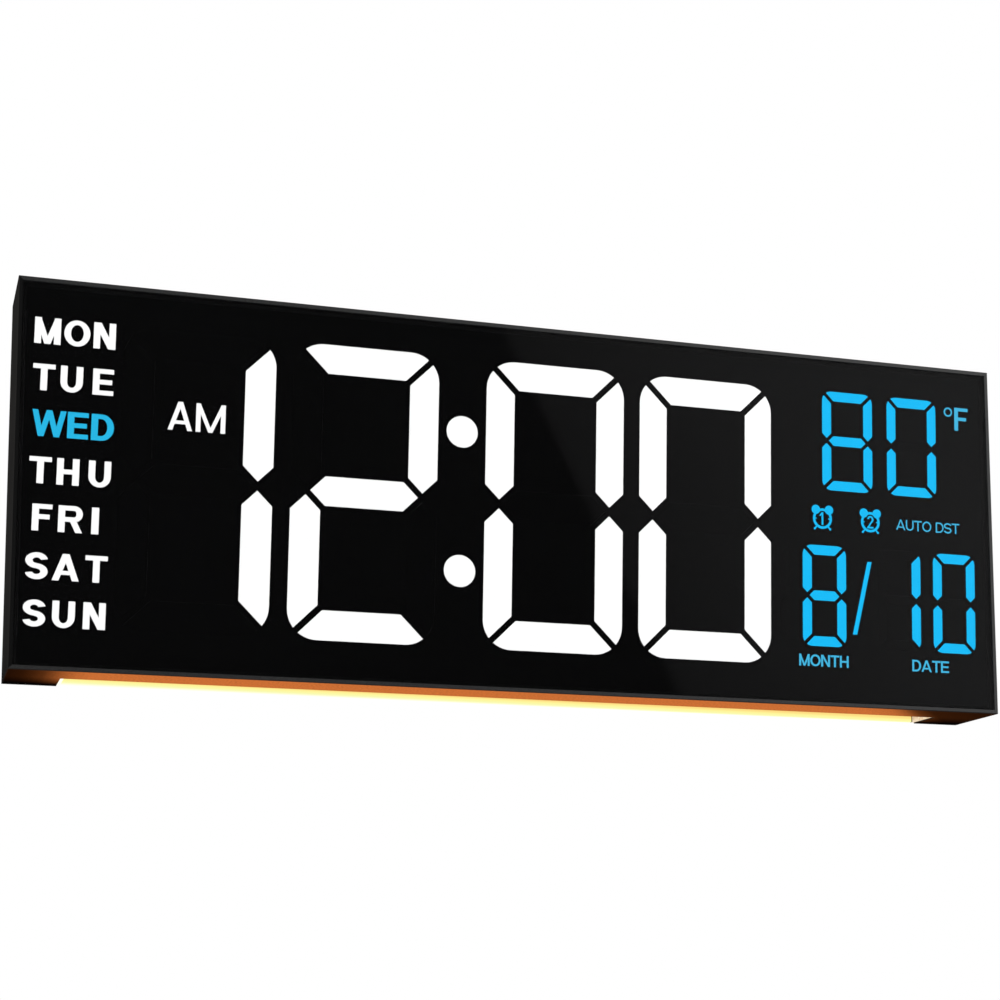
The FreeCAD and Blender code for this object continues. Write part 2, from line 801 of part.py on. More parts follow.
def make_front_frame():
    frame = new_body("front_frame")
    face = facing(frame, "seam_y")
    rectangle(face, "-half_width", "0", "half_width", "case_height")
    pad(frame, face, "frame_depth")
    edge = facing(frame, "front_y")
    inset = "frame_wall"
    rectangle(edge, f"-half_width + {inset}", inset, f"half_width - {inset}", f"case_height - {inset}")
    pocket(frame, edge, "ledge_y - front_y")
    opening = facing(frame, "ledge_y")
    inset = "(frame_wall + ledge_width)"
    rectangle(opening, f"-half_width + {inset}", inset, f"half_width - {inset}", f"case_height - {inset}")
    pocket(frame, opening, "ledge_thickness")
    inside = facing(frame, "ledge_back_y")
    inset = "frame_wall"
    rectangle(inside, f"-half_width + {inset}", inset, f"half_width - {inset}", f"case_height - {inset}")
    pocket(frame, inside, "seam_y - ledge_back_y")

    sill = facing(frame, "seam_y")
    sill_half = "(channel_half + housing_wall)"
    rectangle(sill, f"-{sill_half}", "frame_wall / 2", sill_half, "channel_roof_z")
    pad(frame, sill, "sill_thickness")

    reach = "(tube_radius - 0.5)"
    for side in SIDES:
        corner = facing(frame, "seam_y")
        rectangle(corner, f"{side} * (leg_x - {reach})", "frame_wall / 2",
                  f"{side} * (half_width - frame_wall / 2)", f"low_screw_height + {reach}")
        rectangle(corner, f"{side} * (leg_x - {reach})", f"top_screw_z - {reach}",
                  f"{side} * (half_width - frame_wall / 2)", "case_height - frame_wall / 2")
        rectangle(corner, f"{side} * middle_screw_offset - {reach}", f"top_screw_z - {reach}",
                  f"{side} * middle_screw_offset + {reach}", "case_height - frame_wall / 2")
        pad(frame, corner, "seam_y - ledge_back_y")
    DOC.recompute()
    threads = facing(frame, "ledge_back_y + 1")
    for x, z in screw_places():
        circle(threads, x, z, "screw_radius + thread_clearance")
    pocket(frame, threads, "seam_y - ledge_back_y")

    DOC.recompute()
    front_y = number("front_y")
    limit = number("half_width") - 0.01
    tall = number("case_height") - 0.01
    rim = []
    for index, line in enumerate(frame.Shape.Edges, start=1):
        box = line.BoundBox
        outside = max(abs(box.XMin), abs(box.XMax)) > limit or box.ZMin > tall or box.ZMax < 0.01
        if abs(box.YMin - front_y) < 0.01 and abs(box.YMax - front_y) < 0.01 and outside:
            rim.append(f"Edge{index}")
    solid = frame.Tip
    chamfer = frame.newObject("PartDesign::Chamfer", "chamfer")
    chamfer.Base = (solid, rim)
    chamfer.setExpression("Size", formula("rim_chamfer"))


def make_front_panel():
    panel = new_body("front_panel")
    face = facing(panel, "panel_back_y")
    inset = "(frame_wall + panel_clearance)"
    rectangle(face, f"-half_width + {inset}", inset, f"half_width - {inset}", f"case_height - {inset}")
    pad(panel, face, "panel_thickness")

    tape = new_body("panel_tape")
    face = facing(tape, "ledge_y")
    rectangle(face, f"-half_width + {inset}", inset, f"half_width - {inset}", f"case_height - {inset}")
    inset = "(frame_wall + ledge_width)"
    rectangle(face, f"-half_width + {inset}", inset, f"half_width - {inset}", f"case_height - {inset}")
    pad(tape, face, "tape_thickness")


def make_rear_housing():
    housing = new_body("rear_housing")
    make_housing_shell(housing)
    make_housing_supports(housing)
    make_housing_recesses(housing)
    make_housing_holes(housing)


def make_housing_shell(housing):
    face = facing(housing, "rear_y")
    outline(face, [("-half_width", "0"), ("-channel_half", "0"), ("-channel_half", "channel_height"),
                   ("channel_half", "channel_height"), ("channel_half", "0"), ("half_width", "0"),
                   ("half_width", "case_height"), ("-half_width", "case_height")])
    pad(housing, face, "rear_y - seam_y")
    inside = facing(housing, "seam_y")
    side = "(half_width - housing_wall)"
    step = "(channel_half + housing_wall)"
    top = "case_height - housing_wall"
    outline(inside, [(f"-{side}", "housing_wall"), (f"-{step}", "housing_wall"),
                     (f"-{step}", "channel_roof_z"), (step, "channel_roof_z"),
                     (step, "housing_wall"), (side, "housing_wall"),
                     (side, top), (f"-{side}", top)])
    pocket(housing, inside, "wall_y - seam_y")


def make_housing_supports(housing):
    """Tubes, posts and thicker places on the inside of the back wall."""
    tubes = facing(housing, "wall_y + back_wall / 2")
    for x, z in screw_places():
        circle(tubes, x, z, "tube_radius")
    pad(housing, tubes, "wall_y + back_wall / 2 - seam_y")

    posts = facing(housing, "wall_y + back_wall / 2")
    for x in ("-post_outer_x", "-post_inner_x"):
        for z in ("post_low_z", "post_high_z"):
            circle(posts, x, z, "post_radius")
    circle(posts, "post_right_x", "post_right_z", "post_radius")
    pad(housing, posts, "wall_y + back_wall / 2 - board_back_y")

    board_posts = facing(housing, "wall_y + back_wall / 2")
    for x, z in control_post_places():
        circle(board_posts, x, z, "control_post_radius")
    pad(housing, board_posts, "wall_y + back_wall / 2 - control_back_y")

    for side in SIDES:
        trough = facing(housing, "wall_y + back_wall / 2")
        rectangle(trough, f"{side} * (channel_half + housing_wall / 2)", "housing_wall / 2",
                  f"{side} * (half_width - housing_wall / 2)",
                  "leg_hinge_height + leg_thickness / 2 + leg_end_gap + housing_wall")
        pad(housing, trough, "wall_y + back_wall / 2 - leg_floor_y + housing_wall")
        cup = facing(housing, "wall_y + back_wall / 2")
        half = "(keyhole_head_radius + keyhole_cup_wall)"
        rectangle(cup, f"{side} * keyhole_x - {half}", f"keyhole_z - {half}",
                  f"{side} * keyhole_x + {half}",
                  "keyhole_z + keyhole_rise + keyhole_head_radius + keyhole_cup_wall")
        pad(housing, cup, "wall_y + back_wall / 2 - keyhole_cup_y")
        tongue = facing(housing, "seam_y + tongue_depth")
        rectangle(tongue, f"{side} * (half_width - frame_wall - tongue_clearance - tongue_thickness)",
                  "reflector_low_z + tongue_depth",
                  f"{side} * (half_width - frame_wall - tongue_clearance)", "reflector_high_z")
        pad(housing, tongue, "2 * tongue_depth")

    pads = facing(housing, "wall_y + back_wall / 2")
    circle(pads, "jack_x", "jack_z", "jack_pad_radius")
    pad(housing, pads, "back_wall / 2 + jack_pad_height")
    ring = facing(housing, "wall_y + back_wall / 2")
    circle(ring, "cell_x", "cell_z", "cap_ring_radius")
    pad(housing, ring, "wall_y + back_wall / 2 - cap_ring_y")


def make_housing_recesses(housing):
    """Shallow places in the outside of the back wall; each pocket runs back from its floor."""
    for side in SIDES:
        channel = facing(housing, "leg_floor_y")
        rectangle(channel, f"{side} * leg_x - leg_channel_half", "leg_foot_height - leg_end_gap",
                  f"{side} * leg_x + leg_channel_half", "leg_hinge_height + leg_thickness / 2 + leg_end_gap")
        pocket(housing, channel, "leg_channel_depth")
        hinge = sketch_on(housing, "YZ_Plane", f"{side} * leg_x - {side} * leg_pin_half")
        circle(hinge, "leg_pin_y", "leg_hinge_height", "leg_pin_radius + thread_clearance")
        feature = pocket(housing, hinge, "2 * leg_pin_half")
        feature.Reversed = side > 0
    field = facing(housing, "button_field_y")
    border = "(button_radius + button_field_border)"
    rectangle(field, f"button_x - 2 * button_pitch - {border}", f"button_z - {border}",
              f"button_x + 2 * button_pitch + {border}", f"button_z + {border}")
    pocket(housing, field, "button_recess")
    cap_seat = facing(housing, "cap_seat_y")
    circle(cap_seat, "cell_x", "cell_z", "cap_radius + cap_clearance")
    pocket(housing, cap_seat, "rear_y - cap_seat_y")
    jack_seat = facing(housing, "jack_seat_y")
    circle(jack_seat, "jack_x", "jack_z", "jack_flange_radius + cap_clearance")
    pocket(housing, jack_seat, "rear_y - jack_seat_y")
    heads = facing(housing, "screw_seat_y")
    for x, z in screw_places():
        circle(heads, x, z, "screw_head_radius + screw_clearance")
    pocket(housing, heads, "counterbore_depth")


def make_housing_holes(housing):
    for side in SIDES:
        cavity = facing(housing, "keyhole_pocket_y")
        half = "keyhole_head_radius"
        rectangle(cavity, f"{side} * keyhole_x - {half}", f"keyhole_z - {half}",
                  f"{side} * keyhole_x + {half}", f"keyhole_z + keyhole_rise + {half}")
        pocket(housing, cavity, "keyhole_pocket_depth")
        head = facing(housing, "wall_y - 0.1")
        circle(head, f"{side} * keyhole_x", "keyhole_z", "keyhole_head_radius")
        pocket(housing, head, "back_wall + 0.1")
        slot = facing(housing, "wall_y - 0.1")
        rectangle(slot, f"{side} * keyhole_x - keyhole_slot_radius", "keyhole_z",
                  f"{side} * keyhole_x + keyhole_slot_radius", "keyhole_z + keyhole_rise")
        pocket(housing, slot, "back_wall + 0.1")
        slot_end = facing(housing, "wall_y - 0.1")
        circle(slot_end, f"{side} * keyhole_x", "keyhole_z + keyhole_rise", "keyhole_slot_radius")
        pocket(housing, slot_end, "back_wall + 0.1")

    screws = facing(housing, "seam_y")
    for x, z in screw_places():
        circle(screws, x, z, "screw_radius + screw_clearance")
    pocket(housing, screws, "rear_y - seam_y")
    threads = facing(housing, "control_back_y")
    for x, z in control_post_places():
        circle(threads, x, z, "board_screw_radius + thread_clearance")
    pocket(housing, threads, "board_screw_length - board_thickness + 0.5")

    buttons = facing(housing, "wall_y")
    for x in button_places():
        circle(buttons, x, "button_z", "button_radius + button_clearance")
    pocket(housing, buttons, "back_wall")
    cap_hole = facing(housing, "cap_ring_y")
    circle(cap_hole, "cell_x", "cell_z", "cap_neck_radius + cap_clearance")
    pocket(housing, cap_hole, "cap_seat_y - cap_ring_y")
    jack_hole = facing(housing, "jack_pad_y")
    circle(jack_hole, "jack_x", "jack_z", "jack_barrel_radius + thread_clearance")
    pocket(housing, jack_hole, "jack_seat_y - jack_pad_y")

    vents = facing(housing, "wall_y")
    for index in range(round(number("vent_count"))):
        middle = f"(vent_x + ({index} - (vent_count - 1) / 2) * vent_pitch)"
        rectangle(vents, f"{middle} - vent_width / 2", "vent_z - vent_height / 2",
                  f"{middle} + vent_width / 2", "vent_z + vent_height / 2")
    pocket(housing, vents, "back_wall")
    sound = facing(housing, "wall_y")
    circle(sound, "buzzer_x", "buzzer_z", "sound_hole_radius")
    for index in range(round(number("sound_hole_count"))):
        angle = f"({index} * 360 deg / sound_hole_count)"
        circle(sound, f"buzzer_x + sound_ring_radius * cos{angle}",
               f"buzzer_z + sound_ring_radius * sin{angle}", "sound_hole_radius")
    pocket(housing, sound, "back_wall")
    lead_hole = sketch_on(housing, "XY_Plane", "channel_roof_z")
    circle(lead_hole, "lead_hole_x", "plug_y", "lead_spacing + 2 * lead_radius")
    pocket(housing, lead_hole, "housing_wall")


def make_case_screws():
    """Screws with a cross recess in the head."""
    long = "screw_cross_length"
    wide = "screw_cross_width"
    deep = "screw_cross_depth"
    screws = []
    for x, z in screw_places():
        head = rod(x, "screw_seat_y", z, "screw_head_radius", "screw_head_height")
        shank = rod(x, "screw_seat_y - screw_length", z, "screw_radius", "screw_length")
        floor = f"screw_seat_y + screw_head_height - {deep}"
        level = cuboid(f"{x} - {long} / 2", floor, f"{z} - {wide} / 2", long, f"2 * {deep}", wide)
        upright = cuboid(f"{x} - {wide} / 2", floor, f"{z} - {long} / 2", wide, f"2 * {deep}", long)
        screws.append(without(joined(head, shank), joined(level, upright)))
    keep(group(*screws), "case_screws")


# Night light

def make_night_light():
    diffuser = new_body("night_light_diffuser")
    profile = sketch_on(diffuser, "YZ_Plane", "-diffuser_half")
    front = "diffuser_front_y"
    rear = "diffuser_rear_y"
    wall = "diffuser_wall"
    top = "channel_height - window_clearance"
    shelf = "diffuser_shelf"
    outline(profile, [(f"{rear} - {wall}", "diffuser_foot"), (rear, "diffuser_foot"), (rear, top),
                      (f"{rear} - {wall}", top), (f"{rear} - {wall}", f"{shelf} + {wall}"),
                      (f"{front} + {wall}", f"{shelf} + {wall}"), (f"{front} + {wall}", top),
                      (front, top), (front, shelf), (f"{rear} - {wall}", shelf)])
    pad(diffuser, profile, "2 * diffuser_half")
    for start in ("-diffuser_half", "diffuser_half - diffuser_end_wall"):
        end_wall = sketch_on(diffuser, "YZ_Plane", start)
        rectangle(end_wall, front, "diffuser_foot",
                  f"{rear} - {wall} - diffuser_slot", f"{shelf} + {wall} / 2")
        pad(diffuser, end_wall, "diffuser_end_wall")

    board = new_body("night_light_board")
    face = sketch_on(board, "XY_Plane", "strip_z")
    rectangle(face, "-(diffuser_half - strip_end_gap)", "strip_y - strip_width / 2",
              "diffuser_half - strip_end_gap", "strip_y + strip_width / 2")
    pad(board, face, "strip_thickness")

    count = round(number("night_led_count"))
    lamps = []
    for index in range(count):
        middle = f"(2 * {index} + 1 - night_led_count) * (diffuser_half - strip_end_gap) / night_led_count"
        lamps.append(cuboid(f"{middle} - night_led_size / 2", "strip_y - night_led_size / 2",
                            "strip_z - night_led_height", "night_led_size", "night_led_size",
                            "night_led_height"))
    keep(group(*lamps), "night_light_leds")


# Legs

def make_legs():
    opening = math.radians(number("leg_opening"))
    half = number("leg_thickness") / 2
    reach = number("leg_pin_y - leg_floor_y") - half * math.cos(opening)
    stop_gap = number("running_clearance")
    heel = min(reach / math.sin(opening) - stop_gap, half)
    for side, label in zip(SIDES, ("left_leg", "right_leg")):
        left = f"({side} * leg_x - leg_width / 2)"
        plate = cuboid(left, "leg_front_y", "leg_foot_height", "leg_width", "leg_thickness",
                       "leg_hinge_height - leg_foot_height")
        knuckle = cross_rod(left, "leg_pin_y", "leg_hinge_height", "leg_thickness / 2", "leg_width")
        stop = cuboid(left, "leg_front_y", "leg_hinge_height", "leg_width", "leg_thickness / 2", heel)
        bore = cross_rod(left, "leg_pin_y", "leg_hinge_height",
                         "leg_pin_radius + running_clearance", "leg_width")
        groove = cuboid(f"{side} * leg_x - nail_groove_width / 2", "leg_back_y - nail_groove_depth",
                        "leg_foot_height + nail_groove_rise", "nail_groove_width",
                        "2 * nail_groove_depth", "nail_groove_height")
        keep(without(joined(plate, knuckle, stop), bore, groove), label)
        pin = cross_rod(f"{side} * leg_x - leg_pin_half", "leg_pin_y", "leg_hinge_height",
                        "leg_pin_radius", "2 * leg_pin_half")
        keep(pin, label + "_pin")


# Control board and what it carries

def control_post_places():
    across = "(control_width / 2 - control_post_inset)"
    up = "(control_height / 2 - control_post_inset)"
    return [(f"control_x + {side} * {across}", f"control_z + {level} * {up}")
            for side in SIDES for level in SIDES]


def button_places():
    return [f"(button_x + {step} * button_pitch)" for step in range(-2, 3)]


BUTTON_NAMES = ("mode", "down", "up", "alarm", "light")


def make_control_board():
    board = new_body("control_board")
    face = facing(board, "control_back_y")
    rectangle(face, "control_x - control_width / 2", "control_z - control_height / 2",
              "control_x + control_width / 2", "control_z + control_height / 2")
    for x, z in control_post_places():
        circle(face, x, z, "board_screw_radius + screw_clearance")
    pad(board, face, "board_thickness")

    screws = []
    for x, z in control_post_places():
        head = rod(x, "control_y - board_screw_head_height", z, "board_screw_head_radius",
                   "board_screw_head_height")
        shank = rod(x, "control_y", z, "board_screw_radius", "board_screw_length")
        screws.append(joined(head, shank))
    keep(group(*screws), "board_screws")


def make_buttons():
    switches = []
    for x, name in zip(button_places(), BUTTON_NAMES):
        flange = rod(x, "button_flange_y", "button_z", "button_flange_radius", "button_flange_height")
        stem = rod(x, "button_flange_y", "button_z", "button_radius", "button_back_y - button_flange_y")
        nose_y = "(switch_back_y + plunger_rise)"
        nose = rod(x, nose_y, "button_z", "plunger_radius", f"button_flange_y - {nose_y}")
        keep(joined(flange, stem, nose), name + "_button")
        plunger = rod(x, "switch_back_y - plunger_bury", "button_z", "plunger_radius",
                      "plunger_rise + plunger_bury")
        keep(plunger, name + "_plunger")
        block = cuboid(f"{x} - switch_width / 2", "control_back_y", "button_z - switch_width / 2",
                       "switch_width", "switch_height", "switch_width")
        depth = "(plunger_bury + button_travel + button_flange_gap)"
        bore = rod(x, f"switch_back_y - {depth}", "button_z", "plunger_radius + running_clearance", depth)
        switches.append(without(block, bore))
    keep(group(*switches), "tact_switches")


def make_coin_cell():
    ring_radius = "(cell_radius + cap_clearance + holder_wall)"
    base = rod("cell_x", "control_back_y", "cell_z", ring_radius, "holder_rim")
    floor_y = "(control_back_y + holder_base)"
    well = rod("cell_x", floor_y, "cell_z", "cell_radius + cap_clearance", "holder_rim")
    keep(without(base, well), "coin_cell_holder")
    keep(rod("cell_x", floor_y, "cell_z", "cell_radius", "cell_thickness"), "coin_cell")

    disc = rod("cell_x", "cap_seat_y + cap_clearance / 4", "cell_z", "cap_radius",
               "cap_thickness - cap_clearance / 4")
    neck = rod("cell_x", "cap_lug_y", "cell_z", "cap_neck_radius", "cap_seat_y + cap_clearance - cap_lug_y")
    hollow = rod("cell_x", "cap_lug_y - 1", "cell_z", "cap_neck_radius - holder_wall",
                 "cap_seat_y - cap_lug_y + 1")
    slot = cuboid("cell_x - coin_slot_length / 2", "cap_back_y - coin_slot_depth",
                  "cell_z - coin_slot_width / 2",
                  "coin_slot_length", "2 * coin_slot_depth", "coin_slot_width")
    lugs = [cap_sector("cap_lug_y", "cap_lug_thickness", "cap_neck_radius + cap_lug_reach",
                       f"{turn} - cap_lug_angle / 2", "cap_lug_angle") for turn in (0, 180)]
    keep(without(joined(disc, neck, *lugs), hollow, slot), "battery_cap")


def cap_sector(y, thickness, radius, start, angle):
    """A wedge of a disc about the coin cell's axis, from the start angle, seen from behind."""
    item = DOC.addObject("Part::Cylinder", "cap_sector")
    bind(item, Radius=radius, Height=thickness, Angle=angle)
    place(item, "cell_x", y, "cell_z")
    turn = Rotation(Vector(0, 1, 0), number(start))
    item.Placement.Rotation = turn.multiply(Rotation(Vector(1, 0, 0), -90))
    return item


def cut_cap_notches():
    """Notches in the housing's ring, where the turned cap's lugs lift out."""
    housing = next(item for item in NODES if item.Label == "rear_housing")
    NODES.remove(housing)
    housing.Label = "housing_blank"
    notches = [cap_sector("cap_ring_y - 1", "cap_seat_y - cap_ring_y + 1.01",
                          "cap_neck_radius + cap_lug_reach + cap_clearance",
                          f"{turn} + cap_turn - cap_lug_angle / 2 - 2", "cap_lug_angle + 4")
               for turn in (0, 180)]
    keep(without(housing, *notches), "rear_housing")


def make_power_inlet():
    flange = rod("jack_x", "jack_seat_y", "jack_z", "jack_flange_radius", "jack_flange_thickness")
    barrel = rod("jack_x", "jack_end_y", "jack_z", "jack_barrel_radius", "jack_barrel_length")
    bore = rod("jack_x", "jack_seat_y + jack_flange_thickness - jack_bore_depth", "jack_z",
               "jack_bore_radius", "jack_bore_depth + 1")
    keep(without(joined(flange, barrel), bore), "dc_jack")
    contact_y = "(jack_seat_y + jack_flange_thickness - jack_bore_depth)"
    keep(rod("jack_x", contact_y, "jack_z", "jack_pin_radius", "jack_bore_depth - jack_pin_setback"),
         "dc_jack_pin")
    nut = DOC.addObject("Part::Prism", "nut")
    nut.Polygon = 6
    bind(nut, Circumradius="jack_nut_size", Height="jack_nut_height")
    place(nut, "jack_x", "jack_pad_y - jack_nut_height", "jack_z", Rotation(Vector(1, 0, 0), -90))
    thread = rod("jack_x", "jack_pad_y - jack_nut_height - 1", "jack_z",
                 "jack_barrel_radius + thread_clearance", "jack_nut_height + 2")
    keep(without(nut, thread), "dc_jack_nut")
    lugs = [cuboid(f"jack_x + {side} * jack_terminal - lead_radius", "jack_end_y - jack_terminal",
                   "jack_z - lead_radius", "2 * lead_radius", "jack_terminal", "2 * lead_radius")
            for side in SIDES]
    keep(group(*lugs), "dc_jack_terminals")


def make_board_parts():
    """Parts soldered to the control board."""
    buzzer = rod("buzzer_x", "control_back_y", "buzzer_z", "buzzer_radius",
                 "control_post_height - buzzer_gap")
    port = rod("buzzer_x", "wall_y - 2 * buzzer_gap - 1", "buzzer_z", "sound_hole_radius", "2")
    keep(without(buzzer, port), "buzzer")
    middle_x = "(control_x + controller_offset)"
    keep(cuboid(f"{middle_x} - controller_size / 2", "control_y - controller_height",
                "control_z - controller_size / 2", "controller_size", "controller_height",
                "controller_size"), "microcontroller")
    low_z = "(control_z - controller_size / 2 - crystal_width - 2)"
    keep(cuboid(f"{middle_x} - crystal_length / 2", "control_y - crystal_height", low_z,
                "crystal_length", "crystal_height", "crystal_width"), "crystal")
    keep(cuboid(f"{middle_x} + controller_size + 4", "control_y - regulator_height", low_z,
                "regulator_size", "regulator_height", "regulator_size"), "voltage_regulator")
    keep(rod(f"{middle_x} + controller_size + 8", "control_y - capacitor_length", "control_z + 8",
             "capacitor_radius", "capacitor_length"), "filter_capacitor")
    board_low = "(control_z - control_height / 2)"
    bead = rod("vent_x", "control_back_y - sensor_lead", f"{board_low} - sensor_reach", "sensor_radius",
               "2 * sensor_radius")
    leads = [cuboid(f"vent_x + {side} * sensor_lead * 1.5 - sensor_lead / 2", "control_back_y",
                    f"{board_low} - sensor_reach", "sensor_lead", "sensor_lead", "sensor_reach + 3")
             for side in SIDES]
    keep(joined(bead, *leads), "temperature_sensor")


def wire(points):
    """A round wire along straight runs with a bend at each corner."""
    path = [Vector(*(number(part) for part in point)) for point in points]
    bend = number("lead_bend")
    edges = []
    here = path[0]
    for corner, after in zip(path[1:-1], path[2:]):
        towards = (corner - here).normalize()
        onwards = (after - corner).normalize()
        half_turn = towards.getAngle(onwards) / 2
        back = bend * math.tan(half_turn)
        start = corner - towards * back
        end = corner + onwards * back
        inward = (onwards - towards).normalize()
        middle = corner + inward * (bend / math.cos(half_turn) - bend)
        edges.append(Part.makeLine(here, start))
        edges.append(Part.Arc(start, middle, end).toShape())
        here = end
    edges.append(Part.makeLine(here, path[-1]))
    spine = Part.Wire(edges)
    first = (path[1] - path[0]).normalize()
    ring = Part.Wire([Part.Circle(path[0], first, number("lead_radius")).toShape()])
    return spine.makePipeShell([ring], True, True)


def board_plug(x, z, width):
    """A plug on the front side of the control board."""
    return cuboid(f"{x} - {width} / 2", "control_y - plug_depth", f"{z} - plug_height / 2",
                  width, "plug_depth", "plug_height")


def make_wiring():
    plug_x = "(control_x - control_width / 2 + plug_width / 2 + 2)"
    low_z = "(control_z - plug_step / 2)"
    high_z = "(control_z + plug_step / 2)"
    keep(cuboid(f"{plug_x} - plug_width / 2", "board_back_y", f"{low_z} - plug_height / 2",
                "plug_width", "plug_depth", "plug_height"), "display_plug")
    keep(group(board_plug(plug_x, high_z, "plug_width"),
               board_plug("power_plug_x", "power_plug_z", "small_plug_width"),
               board_plug("light_plug_x", "light_plug_z", "small_plug_width")), "board_plugs")

    ribbon = new_body("display_ribbon")
    profile = sketch_on(ribbon, "YZ_Plane", f"{plug_x} - plug_width / 2 + ribbon_border")
    front = "(board_back_y + plug_depth)"
    back = "(control_y - plug_depth)"
    middle = f"(({front} + {back}) / 2)"
    half = "ribbon_thickness / 2"
    outline(profile, [(front, f"{low_z} - {half}"), (f"{middle} + {half}", f"{low_z} - {half}"),
                      (f"{middle} + {half}", f"{high_z} - {half}"), (back, f"{high_z} - {half}"),
                      (back, f"{high_z} + {half}"), (f"{middle} - {half}", f"{high_z} + {half}"),
                      (f"{middle} - {half}", f"{low_z} + {half}"), (front, f"{low_z} + {half}")])
    pad(ribbon, profile, "plug_width - 2 * ribbon_border")

    power_wires = []
    light_wires = []
    for side in SIDES:
        x = f"jack_x + {side} * jack_terminal"
        run_y = "(board_back_y + plug_depth)"
        z = f"power_plug_z + {side} * lead_spacing"
        power_wires.append(wire([(x, "jack_end_y - jack_terminal", "jack_z"), (x, run_y, "jack_z"),
                                 (x, run_y, z), ("power_plug_x", run_y, z),
                                 ("power_plug_x", "control_y - plug_depth", z)]))
        step = f"{side} * lead_spacing"
        run_z = f"channel_height + lead_rise + {step}"
        light_wires.append(wire([(f"lead_hole_x + {step}", "plug_y", "channel_height"),
                                 (f"lead_hole_x + {step}", "plug_y", run_z),
                                 (f"light_plug_x + {step}", "plug_y", run_z),
                                 (f"light_plug_x + {step}", "plug_y", "light_plug_z - plug_height / 2")]))
    keep(shaped("power_wires", power_wires), "power_wires")
    keep(shaped("night_light_wires", light_wires), "night_light_wires")


def check_and_export():
    DOC.recompute()
    for item in DOC.Objects:
        if "Invalid" in item.State or "Error" in item.State:
            raise ValueError(f"{item.Label} failed: {item.State}")
    for item in NODES:
        shape = item.Shape
        if shape.isNull() or not shape.isValid() or not shape.Solids:
            raise ValueError(f"{item.Label} has no valid solid")
    os.makedirs("parts", exist_ok=True)
    for item in NODES:
        item.Shape.exportStep(f"parts/{item.Label}.step")
        print(item.Label, len(item.Shape.Solids), round(item.Shape.Volume, 2))


fill_sheet()
make_front_frame()
make_front_panel()
make_rear_housing()
cut_cap_notches()
make_case_screws()
make_night_light()
make_legs()
make_control_board()
make_buttons()
make_coin_cell()
make_power_inlet()
make_board_parts()
make_wiring()
make_display()
check_and_export()
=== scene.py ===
"""Looks of the wide day clock: lit characters behind a smoked panel, a black case and a warm night light.

Metres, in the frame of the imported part: +Z up, the display faces -Y, the width lies along X.
"""
import json
import math

import bmesh
import bpy
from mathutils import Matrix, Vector
from mathutils.geometry import delaunay_2d_cdt


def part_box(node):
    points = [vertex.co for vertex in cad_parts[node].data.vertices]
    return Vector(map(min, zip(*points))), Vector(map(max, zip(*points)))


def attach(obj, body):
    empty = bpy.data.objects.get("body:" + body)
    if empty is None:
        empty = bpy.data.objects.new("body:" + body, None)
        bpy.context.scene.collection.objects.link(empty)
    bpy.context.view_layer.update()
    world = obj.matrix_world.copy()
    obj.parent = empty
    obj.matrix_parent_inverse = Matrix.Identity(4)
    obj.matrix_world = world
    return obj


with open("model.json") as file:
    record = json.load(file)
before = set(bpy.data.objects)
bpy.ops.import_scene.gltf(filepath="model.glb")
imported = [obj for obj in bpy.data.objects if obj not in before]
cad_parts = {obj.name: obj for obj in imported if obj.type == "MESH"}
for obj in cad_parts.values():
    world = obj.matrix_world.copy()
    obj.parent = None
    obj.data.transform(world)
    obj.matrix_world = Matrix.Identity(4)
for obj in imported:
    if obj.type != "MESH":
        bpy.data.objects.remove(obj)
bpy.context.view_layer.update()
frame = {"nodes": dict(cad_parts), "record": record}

MM = 0.001

# The digits' lean, in degrees, and how far it moves a point sideways for each unit of height
DIGIT_LEAN = 1.05
LEAN = math.tan(math.radians(DIGIT_LEAN))

# The front of the case: its corners and the width of the rim round the panel
CASE_LOW, CASE_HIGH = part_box("front_frame")
RIM_WIDTH = 1.65 * MM

# Colours in linear light
WHITE_LIGHT = (1.0, 1.0, 1.0)
BLUE_LIGHT = (0.0, 0.49, 0.91)
TODAY_LIGHT = (0.018, 0.46, 0.76)
PALE_BLUE_LIGHT = (0.05, 0.45, 0.72)
AMBER_LIGHT = (0.56, 0.15, 0.034)
BLACK_PLASTIC = (0.021, 0.021, 0.0215)
UNLIT = (0.0015, 0.0015, 0.0016)

# The smoked panel: what each of its two faces holds back, and how much it mirrors
PANEL_ALPHA = 0.45
PANEL_LEVEL = 0.24
SEEN_THROUGH = (1 - PANEL_ALPHA) ** 2
LIT_STRENGTH = 1 / SEEN_THROUGH


# Node helpers

def new_material(name):
    """A material and its Principled shader."""
    material = bpy.data.materials.new(name)
    material.use_nodes = True
    return material, material.node_tree.nodes["Principled BSDF"]


def node(tree, kind, inputs=None, **settings):
    """Add a node; an input is a value or the socket that feeds it."""
    made = tree.nodes.new(kind)
    for name, value in settings.items():
        setattr(made, name, value)
    for name, value in (inputs or {}).items():
        if isinstance(value, bpy.types.NodeSocket):
            tree.links.new(value, made.inputs[name])
        else:
            made.inputs[name].default_value = value
    return made


def place_of(tree):
    """Places on the piece, in metres."""
    return node(tree, "ShaderNodeTexCoord").outputs["Object"]


def noise(tree, size, detail=2.0, stretch=(1, 1, 1)):
    """Noise between 0 and 1 whose lumps are about size metres wide."""
    mapping = node(tree, "ShaderNodeMapping", {"Vector": place_of(tree), "Scale": stretch})
    inputs = {"Vector": mapping.outputs["Vector"], "Scale": 1 / size, "Detail": detail}
    return node(tree, "ShaderNodeTexNoise", inputs).outputs["Fac"]


def spread(tree, value, low, high, start=0.3, end=0.7):
    """Map a value from start..end to low..high."""
    inputs = {"Value": value, "From Min": start, "From Max": end, "To Min": low, "To Max": high}
    return node(tree, "ShaderNodeMapRange", inputs).outputs["Result"]


